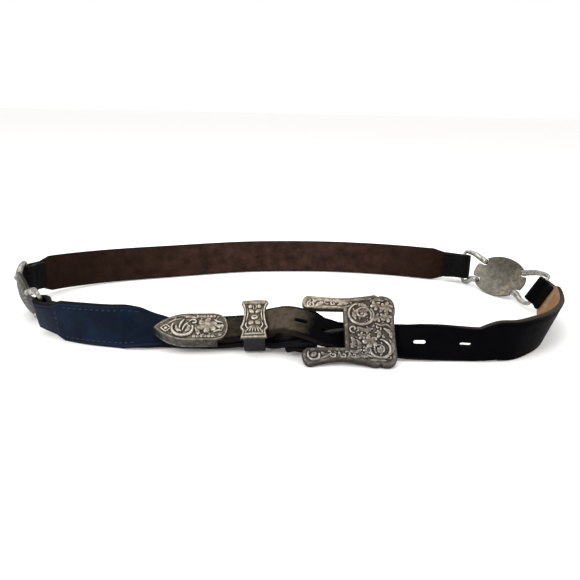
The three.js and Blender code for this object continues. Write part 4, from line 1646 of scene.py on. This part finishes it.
        relief.dome((0, 1.6), 4.2, 3.4, 0, 1.05, 0.75)
        relief.stroke(np.array([[-6, -12.6], [0, -12.3], [6, -12.6]]), 1.8, 0.7, (0.9, 0.9))
        relief.stroke(np.array([[-6.2, -14.2], [0, -14.2], [6.2, -14.2]]), 1.2, 0.5, (0.9, 0.9))
        relief.soften(1)
        return relief

    def build_keeper(self) -> Object:
        """Makes the keeper: a bent band with soft corners, and the engraved plate soldered to its front.

        Returns:
            The keeper's object.
        """
        home = self.keeper_home()
        material = self.warm_silver.build()
        outer = self.keeper_depth / 2 + self.keeper_wall
        plate = self.keeper_relief().build("keeper_plate", outer + 0.35, outer - 0.3, home, material)
        tall = self.keeper_inside / 2
        inside = rounded_box(tall, self.keeper_depth / 2, 1.2)
        outside = rounded_box(tall + self.keeper_wall, outer, 2.2)
        points, faces = ring_solid(outside, inside, -self.keeper_band / 2, self.keeper_band / 2)
        points = np.stack([points[:, 2], points[:, 0], points[:, 1]], 1)
        wear = np.full(len(points), 0.45)
        # The loop takes the darker silver, painted shade on the band round the straps.
        loop = make_object("keeper_band", home.metres(points), faces, [self.shaded_silver.build()], None, wear)
        soften_edges(loop, 0.25)
        return joined("keeper_engraved", [plate, loop])

    def tip_home(self) -> Home:
        """Where the tip stands, with its origin at its point."""
        start, end = np.array(self.tip_start), np.array(self.tip_end)
        return Home(start, *band_frame(end - start, TIP_LEAN))

    def tip_outline(self, length: float, grow: float, rounded: bool) -> Array:
        """Draws the tip's outline from its point.

        Args:
            length: its length.
            grow: how much larger it is all round than the tip.
            rounded: whether its far end is round, or else square.

        Returns:
            Its points.
        """
        half = self.tip_width / 2 + grow
        reach, end = length, [((length, half),)]
        if rounded:
            reach = length - 9
            end = [
                ((length - 2.7, -half), (length, -half * 0.6), (length, 0)),
                ((length, half * 0.6), (length - 2.7, half), (reach, half)),
            ]
        point = (-grow, 0)
        return curve_outline(
            point, ((8.4, -half), (20, -half)), ((reach, -half),), *end, ((20, half),), ((8.4, half), point),
        )

    def tip_relief(self) -> Relief:
        """Draws the tip's face: a rope border, a framed diamond, a C-scroll, leaves and an eyed flower.

        Returns:
            The relief.
        """
        relief = Relief(self.tip_outline(self.tip_length, 0, True), 0.15, 7, 1.2)
        relief.rim(0.1, 1.3, 0.5, 1.1)
        relief.beads(bend((4.4, 2.9), (9, 6.6), (14.4, 8.6), (20, 9.0)), 0.85, 0.95, 0.5)
        relief.stroke(bend((7.4, 1.9), (11, 5), (16, 6.6)), 0.9, 0.55)
        diamond = np.array([[4.2, -1.2], [7, 1.6], [9.8, -1.2], [7, -4.2], [4.2, -1.2]])
        relief.stroke(diamond, 0.9, 0.75, (1, 1))
        relief.dome((7, -1.3), 2.2, 2.2, 45, 0.8)
        relief.stroke(spiral((16.6, -1.6), 6.6, 5.4, 150, 0.62), 2.0, 1.05, (0.5, 0.6))
        relief.leaf(bend((12.6, 0.4), (13.4, -2.6), (15.6, -4.2)), 2.0, 0.9, 2)
        relief.stroke(bend((14.6, -2), (15.2, 2), (17.2, 5.6)), 1.5, 0.95)
        relief.stroke(bend((16.2, -3.4), (17.6, 0.6), (19.6, 3)), 1.3, 0.85)
        relief.leaf(bend((18, -4.4), (19.6, -2.4), (20.2, 0.4)), 2.4, 0.9, 2)
        relief.stroke(spiral((22.6, 3.4), 2.4, 0.6, 170, -0.9), 1.2, 0.9)
        relief.leaf(bend((18, 7.6), (21, 8), (24.6, 6.4)), 1.8, 0.7, 2)
        relief.flower((30.4, 0.2), 9.4, 6, 15, 1.05)
        relief.dome((30.4, 0.2), 3.4, 3.4, 0, 0.7)
        relief.beads(spiral((30.4, 0.2), 1.1, 1.1, 0, 1), 0.7, 0.95, 1.2)
        relief.dome((30.4, 0.2), 0.8, 0.8, 0, 1.25)
        relief.leaf(bend((23.4, -1.6), (25, -4.4), (25.2, -7.4)), 2.2, 0.85, 2)
        relief.leaf(bend((35, 0), (37.4, -0.4), (39.8, -0.2)), 2.6, 0.95, 2)
        relief.stroke(bend((34.6, 5), (36.4, 3.4), (39, 2.6)), 1.3, 0.85)
        relief.stroke(bend((34, -5.2), (36, -4), (38.6, -3.8)), 1.3, 0.8)
        for index in range(6):
            relief.dome((25.2 + index * 1.9, 8.0), 2.0, 2.2, 0, 0.8, 0.3)
            relief.dome((22.8 + index * 2.1, -8.4), 2.1, 2.2, 0, 0.75, 0.3)
        relief.scatter(110, 0.9, 0.8, 0.7)
        relief.soften(1)
        return relief

    def build_tip(self) -> Object:
        """Makes the tip: an engraved face over a plain stippled cup that takes the billet's end.

        Returns:
            The tip's object.
        """
        home = self.tip_home()
        material = self.warm_silver.build()
        half = self.tip_thick / 2
        face = self.tip_relief().build("tip_face", half - 0.5, half - 1.3, home, material)
        wall_end = 36.0
        outer = self.tip_outline(wall_end, 0, False)
        inner = self.tip_outline(wall_end, -0.9, False)
        back = Relief(outer, 0.5, 3)
        back.height += 0.35
        under = back.build("tip_back", -half + 0.65, -half, home, material, 0.05, 0.3)
        count = len(outer)
        at_mouth = outer[:, 0] > wall_end - 0.01
        closed = [k for k in range(count) if not (at_mouth[k] and at_mouth[(k + 1) % count])]
        rows = np.linspace(-half + 0.1, half - 1.0, 9)
        grid = [
            [*(outer[k] + unit(outer[k] - inner[k] + 1e-9) * 0.05 * sin(k * 1.7 + j * 2.1)), z]
            for j, z in enumerate(rows) for k in range(count)
        ]
        core = [[*inner[k], z] for z in (rows[0], rows[-1]) for k in range(count)]
        points = np.array(grid + core)
        base = len(grid)
        faces = []
        for k in closed:
            n = (k + 1) % count
            for j in range(len(rows) - 1):
                faces.append((j * count + k, j * count + n, (j + 1) * count + n, (j + 1) * count + k))
            top = (len(rows) - 1) * count
            faces.append((k, base + k, base + n, n))
            faces.append((top + n, base + count + n, base + count + k, top + k))
            faces.append((base + n, base + k, base + count + k, base + count + n))
        # The cup takes the darker silver, painted shade on the tip's lower flank.
        wear = np.full(len(points), 0.72)
        wall = make_object("tip_wall", home.metres(points), faces, [self.shaded_silver.build()], None, wear)
        bm = bmesh.new()
        bm.from_mesh(wall.data)
        bmesh.ops.holes_fill(bm, edges=[edge for edge in bm.edges if edge.is_boundary], sides=40)
        bmesh.ops.delete(bm, geom=[v for v in bm.verts if not v.link_faces], context="VERTS")
        face_outwards(bm)
        bm.to_mesh(wall.data)
        bm.free()
        return joined("tip_engraved", [face, under, wall])

    def build(self) -> None:
        """Builds and places the four pieces."""
        settle(self.build_frame(), "antiqued_silver", "buckle_frame")
        settle(self.build_tongue(), "antiqued_silver", "buckle_tongue")
        settle(self.build_keeper(), "antiqued_silver", "keeper")
        settle(self.build_tip(), "antiqued_silver", "belt_tip")


def rounded_box(half_x: float, half_y: float, radius: float) -> Array:
    """A rectangle with round corners.

    Args:
        half_x: half its width.
        half_y: half its height.
        radius: its corners' radius.

    Returns:
        Its outline, from its right side anticlockwise.
    """
    points = []
    for corner, signs in enumerate(((1, 1), (-1, 1), (-1, -1), (1, -1))):
        middle = np.array(signs) * (half_x - radius, half_y - radius)
        for step in range(7):
            turn = pi / 2 * (corner + step / 6)
            points.append(middle + radius * np.array([cos(turn), sin(turn)]))
    return np.array(points)


def ring_solid(outside: Array, inside: Array, low: float, high: float) -> tuple[Array, Faces]:
    """A prism with a hole.

    Args:
        outside: its outline.
        inside: the hole's outline, with as many points.
        low: level of its lower end.
        high: level of its upper end.

    Returns:
        Its points and faces.
    """
    count = len(outside)
    loops = [(outside, low), (outside, high), (inside, high), (inside, low)]
    points = np.array([[*p, z] for outline, z in loops for p in outline], float)
    faces = [tuple(v % len(points) for v in face) for face in loft(5, count, caps=False)]
    return points, faces


def soften_edges(piece: Object, width: float) -> None:
    """Rounds a piece's sharp edges a little.

    Args:
        piece: the piece.
        width: how wide the rounding is, in millimetres.
    """
    modifier = piece.modifiers.new("soft", "BEVEL")
    modifier.width = width * MM
    modifier.segments = 3
    modifier.limit_method = "ANGLE"
    modifier.angle_limit = radians(40)
    apply_modifiers(piece)


@dataclass
class Rod:
    """A round rod through points, with a radius at each."""

    points: Array
    radii: Sequence[float]

    def mesh(self, sides: int, steps: int) -> tuple[Array, Faces]:
        """Makes the rod with softly rounded ends.

        Args:
            sides: points round it.
            steps: steps along it.

        Returns:
            Its points and faces.
        """
        shares = np.linspace(0, 1, steps + 1)
        line = np.array([catmull(self.points, s, True) for s in shares])
        sizes = np.array([catmull(np.array([[r] for r in self.radii]), s, False)[0] for s in shares])
        normal = unit(np.cross(line[1] - line[0], [0.31, 0.17, 0.93]))
        rings = []
        for index, point in enumerate(line):
            along = unit(line[min(index + 1, steps)] - line[max(index - 1, 0)])
            normal = unit(normal - along * float(normal @ along))
            side = np.cross(along, normal)
            rings.append((point, along, normal, side, sizes[index]))
        ends = []
        for way, (point, along, normal, side, size) in ((-1, rings[0]), (1, rings[-1])):
            ends.append([
                (point + along * (way * size * 0.45 * sin(a)), along, normal, side, size * cos(a))
                for a in (0.45, 0.9, 1.35)
            ])
        rings = ends[0][::-1] + rings + ends[1]
        points = []
        for point, _, normal, side, size in rings:
            for k in range(sides):
                turn = 2 * pi * k / sides
                points.append(point + normal * size * cos(turn) + side * size * sin(turn))
        return np.array(points), loft(len(rings), sides)


# Concho links


@dataclass
class ConchoLink:
    """An oval domed concho and its two horn rings, which join two straps."""

    name: str
    back: tuple[float, float]
    front: tuple[float, float]
    height: float
    lean: float
    from_back: bool
    outer: AntiquedSilver
    inner: RubbedSilver
    ring_finish: RubbedSilver
    long: float = 48.0
    short: float = 31.0
    dome: float = 4.5
    thick: float = 1.4
    notch_reach: float = 18.2
    notch_half: float = 8.0
    notch_radius: float = 2.75
    bow_radius: float = 1.3
    horn_radius: float = 2.25
    horn_end: float = 1.8
    bow_half: float = 11.6
    horn_bulge: float = 1.5

    def home(self) -> Home:
        """Finds where the concho stands.

        Returns:
            The middle of its rim, and its axes along the belt, across it and outwards.
        """
        start, finish = (self.back, self.front) if self.from_back else (self.front, self.back)
        tangent = np.array([finish[0] - start[0], finish[1] - start[1], 0.0])
        origin = np.array([(start[0] + finish[0]) / 2, (start[1] + finish[1]) / 2, self.height])
        return Home(origin, *band_frame(tangent, self.lean))

    def engraving(self, share: float, turn: float) -> float:
        """Height of the outer face's ornament at one place.

        Args:
            share: the place's share of the radius.
            turn: its turn in radians.

        Returns:
            The height in millimetres.
        """
        rope = exp(-(((share - 0.945) / 0.03) ** 2)) * (0.3 + 0.14 * sin(turn * 64 + share * 40))
        inner_line = 0.16 * exp(-(((share - 0.86) / 0.014) ** 2))
        flutes = 0.0
        if 0.34 < share < 0.84:
            fade = sin(pi * (share - 0.34) / 0.5) ** 0.6
            flutes = 0.42 * fade * abs(sin(turn * 12)) ** 0.7
        boss = 0.55 * max(0.0, 1 - (share / 0.3) ** 2) ** 0.5 * (0.8 + 0.2 * cos(turn * 8))
        return rope + inner_line + flutes + boss

    @staticmethod
    def handled(share: float, turn: float) -> float:
        """How rubbed and ivory the inner face is: its front end is, and its rim is dark.

        Args:
            share: the place's share of the radius.
            turn: its turn in radians.

        Returns:
            The wear, from 0 to 1.
        """
        if share > 0.98:
            return 0.0
        return 0.9 * smoothstep(-share * cos(turn - 0.15), 0.15, 0.5)

    def build_concho(self) -> Object:
        """Makes the domed shell: engraved outside, plain and slightly dented inside, notched at its rim.

        Returns:
            The concho's object.
        """
        rings, inner_rings, around = 56, 24, 240
        radius = self.long / 2
        squash = self.short / self.long
        points, wear = [[0, 0, self.dome + self.thick + 0.1]], [0.8]
        for ring in range(1, rings + 1):
            share = ring / rings
            for k in range(around):
                turn = 2 * pi * k / around
                rise = self.engraving(share, turn) * 0.55
                level = self.dome * (1 - share**2) + self.thick - 0.12 + rise
                if ring == rings:
                    level -= 0.25
                points.append([radius * share * cos(turn), radius * share * sin(turn) * squash, level])
                wear.append(min(1.0, 0.25 + 2.0 * rise))
        for ring in range(inner_rings, 0, -1):
            share = ring / inner_rings
            for k in range(around):
                turn = 2 * pi * k / around
                dent = 0.05 * sin(turn * 3 + share * 9) * sin(share * 7 + 1)
                lip = 0.18 * exp(-(((share - 0.97) / 0.03) ** 2))
                level = self.dome * (1 - share**2) + dent - lip + (0.15 if ring == inner_rings else 0)
                reach = radius * share * (0.992 if ring == inner_rings else 1)
                points.append([reach * cos(turn), reach * sin(turn) * squash, level])
                wear.append(self.handled(share, turn))
        points.append([0, 0, self.dome])
        wear.append(0.0)
        last = len(points) - 1
        faces: Faces = [(0, 1 + k, 1 + (k + 1) % around) for k in range(around)]
        faces += loft(rings + inner_rings, around, 1, False)
        faces += [(last - around + k, last, last - around + (k + 1) % around) for k in range(around)]
        slots = [0] * (around * (1 + rings)) + [1] * (around * inner_rings)
        piece = make_object(
            f"concho_{self.name}_shell", self.home().metres(points), faces,
            [self.outer.build(), self.inner.build()], slots, np.array(wear), 50,
        )
        notches = []
        outline = slot_outline(2 * self.long / 4 + 2 * self.notch_radius, 2 * self.notch_radius, 16)
        outline = outline + [self.long / 4 + self.notch_reach, 0]
        for side in (-1, 1):
            for height in (-1, 1):
                local, quads = prism(outline * (side, 1) + [0, height * self.notch_half], -6, 14)
                notches.append((local, quads))
        cut(piece, self.home(), notches)
        return piece

    def build_ring(self, name: str, end: Sample, side: int, reach: int) -> Object:
        """Makes a horn ring: a thin bow through the strap's fold and two arms that swell into the notches.

        Args:
            name: the piece's name.
            end: the strap's sample at its fold.
            side: 1 where the fold ends its route, -1 where it starts it.
            reach: which notches it takes, 1 or -1 along the concho.

        Returns:
            The ring's object.
        """
        home = self.home()
        radius = self.bow_radius + FOLD_GAP + LEATHER_THICK / 2
        bow = end.point - end.outward * radius
        points: list[Array] = []
        radii: list[float] = []
        for height in (1, -1):
            local = np.array([
                [reach * self.notch_reach, height * self.notch_half, 3.2],
                [reach * (self.notch_reach + 0.2), height * self.notch_half, 0.9],
                [reach * (self.notch_reach + 3.8), height * (self.notch_half + 0.8), 0],
            ])
            butt, notch, lip = home.belt(local)
            corner = bow + end.across * height * self.bow_half + end.tangent * side * 0.8
            straight = bow + end.across * height * (TAB / 2 + 0.2)
            inner = bow + end.across * height * (TAB / 2 - 2.2)
            middle = corner + (lip - corner) * 0.5 + end.across * height * self.horn_bulge
            arm = [butt, notch, lip, middle, corner, straight, inner]
            neck = self.horn_radius * 0.7 + self.bow_radius * 0.3
            sizes = [self.horn_end, self.horn_radius, self.horn_radius, neck] + [self.bow_radius] * 3
            points += arm if height > 0 else arm[::-1]
            radii += sizes if height > 0 else sizes[::-1]
        rod = Rod(np.array(points), radii)
        vertices, faces = rod.mesh(18, 150)
        return make_object(name, to_world(vertices), faces, [self.ring_finish.build()])


# Studio


@dataclass
class Studio:
    """A pale table, soft lights and the camera."""

    floor_tone: str = "#fbfaf8"
    fleck_mm: float = 30.0
    focal: float = 600 / 580 * 36
    place: Triple = (4.0, -395.0, 138.8)
    pitch: float = 17.6
    roll: float = 1.15

    def build_floor(self) -> None:
        """Makes the table top."""
        material, add, _ = new_material("table")
        fleck = add("TexNoise", {"Scale": per_metre(self.fleck_mm), "Detail": 3.0})
        tone = add("MapRange", {"Value": fleck, "To Min": 0.55, "To Max": 0.6})
        shader = add("BsdfPrincipled", {"Base Color": srgb(self.floor_tone), "Roughness": tone})
        add("OutputMaterial", {"Surface": shader})
        reach = 6.0
        corners = np.array([[-reach, -reach, 0], [reach, -reach, 0], [reach, reach, 0], [-reach, reach, 0]])
        floor = make_object("table", corners, [(0, 1, 2, 3)], [material])

    def build_lights(self) -> None:
        """Adds a wide top light, a soft front-left key, a right fill, and a pale surround."""
        for name, place, size, power, tone in (
            ("top", (-0.1, 0.15, 0.9), 1.1, 6.0, (1.0, 1.0, 1.0)),
            ("key", (-0.75, -0.7, 0.75), 0.6, 8.0, (0.96, 0.98, 1.0)),
            ("fill", (0.8, -0.45, 0.45), 0.6, 3.0, (1.0, 0.97, 0.93)),
        ):
            light = bpy.data.lights.new(name, "AREA")
            light.energy = power
            light.size = size
            light.color = tone
            lamp = bpy.data.objects.new(name, light)
            lamp.location = place
            lamp.rotation_euler = (Vector((0, 0, 0)) - Vector(place)).to_track_quat("-Z", "Y").to_euler()
            bpy.context.scene.collection.objects.link(lamp)
        world = bpy.data.worlds.new("surround")
        world.use_nodes = True
        world.node_tree.nodes.clear()
        shade = add_node(world.node_tree, "Background", {"Color": (1.0, 1.0, 1.0, 1.0), "Strength": 1.0})
        add_node(world.node_tree, "OutputWorld", {"Surface": shade})
        bpy.context.scene.world = world
        bpy.context.scene.view_settings.view_transform = "Standard"

    def build_camera(self) -> None:
        """Sets the camera at the photograph's angle."""
        data = bpy.data.cameras.new("camera")
        data.lens = self.focal
        data.sensor_width = 36.0
        data.clip_start = 0.01
        camera = bpy.data.objects.new("camera", data)
        pitch, roll = radians(self.pitch), radians(self.roll)
        upward = Vector((0, sin(pitch), cos(pitch)))
        forward = Vector((0, cos(pitch), -sin(pitch)))
        right = Vector((1, 0, 0)) * cos(roll) + upward * sin(roll)
        up = upward * cos(roll) - Vector((1, 0, 0)) * sin(roll)
        matrix = Matrix((right, up, -forward)).transposed().to_4x4()
        matrix.translation = Vector(to_world(np.array(self.place)))
        camera.matrix_world = matrix
        bpy.context.scene.collection.objects.link(camera)
        bpy.context.scene.camera = camera

    def build(self) -> None:
        """Builds the studio."""
        self.build_camera()
        self.build_floor()
        self.build_lights()


# Assembly


@dataclass
class StrapWork:
    """The three straps with their stitching."""

    # Its tone colour is the painted grey highlight and sheen of the billet's face.
    black: FinishedLeather = FinishedLeather(
        "black_bridle_leather", "#030304", "#060507", "#423a30", "#141214", 0.46, 0.008,
    )
    back_black: FinishedLeather = FinishedLeather(
        "black_back_leather", "#030304", "#070608", "#0b0a0b", "#0b0a0c", 0.44, 0.03,
    )
    # Painted reflection: the navy dye, bloom and rubbed colours paint a blue reflection onto black leather;
    # its tone colour, black, is painted shade where the strap twists under the arch.
    painted_blue_reflection_leather: FinishedLeather = FinishedLeather(
        "black_leather_painted_blue_reflection", "#060e1b", "#0c1c2e", "#152034", "#040304", 0.42, 0.05,
    )
    # Its tone colour darkens the buckle strap's edges a little, painted shade where the strap twists under
    # the arch.
    edge: FinishedLeather = FinishedLeather(
        "burnished_strap_edge", "#030303", "#070606", "#0e0b0c", "#060506", 0.5, 0.04,
    )
    # The billet's edge: rubbed brown by its worn colour; its tone colour is the painted grey highlight of the
    # top edge.
    billet_edge: FinishedLeather = FinishedLeather(
        "rubbed_billet_edge_painted_highlight", "#080606", "#100c0b", "#34281f", "#2c2926", 0.55, 0.03,
    )
    flesh: FleshSideLeather = FleshSideLeather("brown_flesh_side", "#1a0e0b", "#39261f", "#150802")
    dark_flesh: FleshSideLeather = FleshSideLeather("dark_flesh_side", "#060404", "#120d0c", "#0a0707")
    tan_flesh: FleshSideLeather = FleshSideLeather("tan_flesh_side", "#5c4226", "#86694a", "#8d7f7a")
    holes: tuple[tuple[float, float, float], ...] = (
        (-20, 6.8, 2.2), (-2.6, 11, 3.1), (25.2, 6.8, 2.2), (50.4, 6.8, 2.2), (75.6, 6.8, 2.2),
    )
    hole_in_use_x: float = 28.6

    def build(self) -> tuple[Strap, Strap, Strap]:
        """Builds the straps and the stitching.

        Returns:
            The back strap, the buckle strap and the billet.
        """
        back = Strap(
            "strap_back", "back_strap", BACK_STRAP_ROUTE, self.back_black, self.edge, self.flesh,
            1.3, 1.3, rubbed=self.back_wear,
        )
        settle(back.build(), "strap_leather", back.node)
        # The buckle strap's toned share fades the painted blue reflection to black, a painted shade, where
        # the strap twists up under the billet's arch.
        buckle = Strap(
            "strap_buckle", "buckle_strap", BUCKLE_STRAP_ROUTE, self.painted_blue_reflection_leather, self.edge, self.dark_flesh,
            1.3, 1.4, end_tab=BAR_TAB_LENGTH, rubbed=self.front_left_rub_and_edge_highlight,
            toned=lambda sample, across: smoothstep(sample.point[0], -86, -58),
        )
        piece = buckle.build()
        self.slot_for_tongue(piece)
        settle(piece, "strap_leather", buckle.node)
        # The billet's toned share paints a grey highlight on its top edge and a grey sheen at its far turn.
        billet = Strap(
            "strap_billet", "billet_strap", BILLET_ROUTE, self.black, self.billet_edge, self.tan_flesh,
            0.0, 1.3, rubbed=self.billet_wear, toned=self.billet_painted_highlight_and_sheen,
        )
        piece = billet.build()
        in_use = billet.path.distance_at_x(self.hole_in_use_x)
        billet.punch(piece, [(in_use + along, length, width) for along, length, width in self.holes])
        settle(piece, "strap_leather", billet.node)
        self.build_stitching(buckle.path)
        return back, buckle, billet

    @staticmethod
    def back_wear(sample: Sample, across: float) -> float:
        """Handling darkens the back strap's flesh side towards both of its ends."""
        x = sample.point[0]
        return 0.9 * max(1 - smoothstep(x, -165, -40), smoothstep(x, 30, 140))

    @staticmethod
    def front_left_rub_and_edge_highlight(sample: Sample, across: float) -> float:
        """A light random rub over the buckle strap, with a painted highlight along its edges."""
        return 0.2 + 0.5 * smoothstep(abs(across), 0.75, 1.0)

    @staticmethod
    def billet_wear(sample: Sample, across: float) -> float:
        """The billet is rubbed from its tip on, most at its arch, and keeps its dye outside its crease lines.

        Args:
            sample: the place along it.
            across: the place across it, from -1 to 1.

        Returns:
            The wear.
        """
        x = sample.point[0]
        rubbed = 0.5 * smoothstep(x, -38, -33) + 0.5 * smoothstep(x, -16, -6)
        rubbed *= 1 - smoothstep(x, 2, 23)
        rubbed *= 1 - 0.55 * smoothstep(abs(across), 0.74, 0.86)
        return max(rubbed, 0.3 * smoothstep(abs(across), 0.9, 1.0))

    @staticmethod
    def billet_painted_highlight_and_sheen(sample: Sample, across: float) -> float:
        """Painted light: a grey highlight along the top edge where the strap is wide, and a grey sheen over
        its face at the far turn.

        Args:
            sample: the place along it.
            across: the place across it, from -1 to 1.

        Returns:
            How much of the painted light colour shows.
        """
        wide = smoothstep(sample.point[0], 88, 112) * (1 - smoothstep(sample.point[0], 168, 176))
        turned = 0.4 * smoothstep(sample.point[0], 150, 172) * (1 - smoothstep(sample.point[0], 172, 177))
        return max(wide * smoothstep(across, 0.93, 1.0), turned * smoothstep(across, 0.2, 1.0))

    @staticmethod
    def slot_for_tongue(piece: Object) -> None:
        """Cuts the fold's slot, in which the tongue turns.

        Args:
            piece: the buckle strap's object.
        """
        home = Home(np.array([15.0, -77.2, 14.58]), *band_frame(np.array([1.0, 0, 0]), 57.0))
        cut(piece, home, [prism(slot_outline(18.0, 5.2), -12.8, 12.8)])

    @staticmethod
    def build_stitching(path: StrapPath) -> None:
        """Sews the buckle strap along both edges and across its fold.

        Args:
            path: the buckle strap's route.
        """
        rows = Stitching(path)
        for upper in (True, False):
            rows.along(22, 66, 3.3, upper)
        rows.over(15.5, 3.0)
        thread = WaxedThread("waxed_navy_thread", "#06070b", "#131623")
        settle(rows.build("stitching_buckle_strap", thread), "strap_leather")


def main() -> None:
    """Builds the belt, its finishes and the studio, and notes the sizes."""
    logging.basicConfig(level=logging.INFO, format="%(name)s: %(message)s")
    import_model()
    Studio().build()
    back, buckle, billet = StrapWork().build()
    silver = AntiquedSilver("antiqued_cast_silver", "#a19b93", "#524c46", "#1d1815")
    warm = AntiquedSilver("antiqued_warm_silver", "#bcb5a8", "#686156", "#221c17")
    # A darker copy of the antiqued silver as painted shade, for the keeper's band, the tongue and the tip's
    # cup.
    band = AntiquedSilver("silver_painted_shade", "#66635f", "#343234", "#141315")
    # The concho's face silver is darkened as painted shade for its grazing angle, over the antiqued patina of
    # its engraving.
    shell = AntiquedSilver("antiqued_concho_face_painted_shade", "#5d5954", "#36332f", "#161412")
    plain = RubbedSilver("rubbed_cast_silver", "#98958f", "#8a806c", "#4d4a46", 0.28)
    inside = RubbedSilver("rubbed_concho_back", "#656159", "#8f8878", "#3c3936", 0.38)
    BuckleSet(silver, warm, band, buckle.path).build()
    right = ConchoLink("right", (144, 76.5), (180.4, 12), 14.1, -31, False, shell, inside, plain)
    left = ConchoLink("left", (-183, 2), (-145, -56), 15.5, -14, True, shell, inside, plain)
    settle(right.build_concho(), "plain_silver", "concho_right")
    settle(left.build_concho(), "plain_silver", "concho_left")
    for link, name, path, side, reach in (
        (right, "ring_right_front", billet.path, 1, -1),
        (right, "ring_right_back", back.path, -1, 1),
        (left, "ring_left_back", back.path, 1, -1),
        (left, "ring_left_front", buckle.path, -1, 1),
    ):
        end = path.samples[-1] if side > 0 else path.samples[0]
        settle(link.build_ring(f"horn_{name}", end, side, reach), "plain_silver", name)


if __name__ == "__main__":
    main()
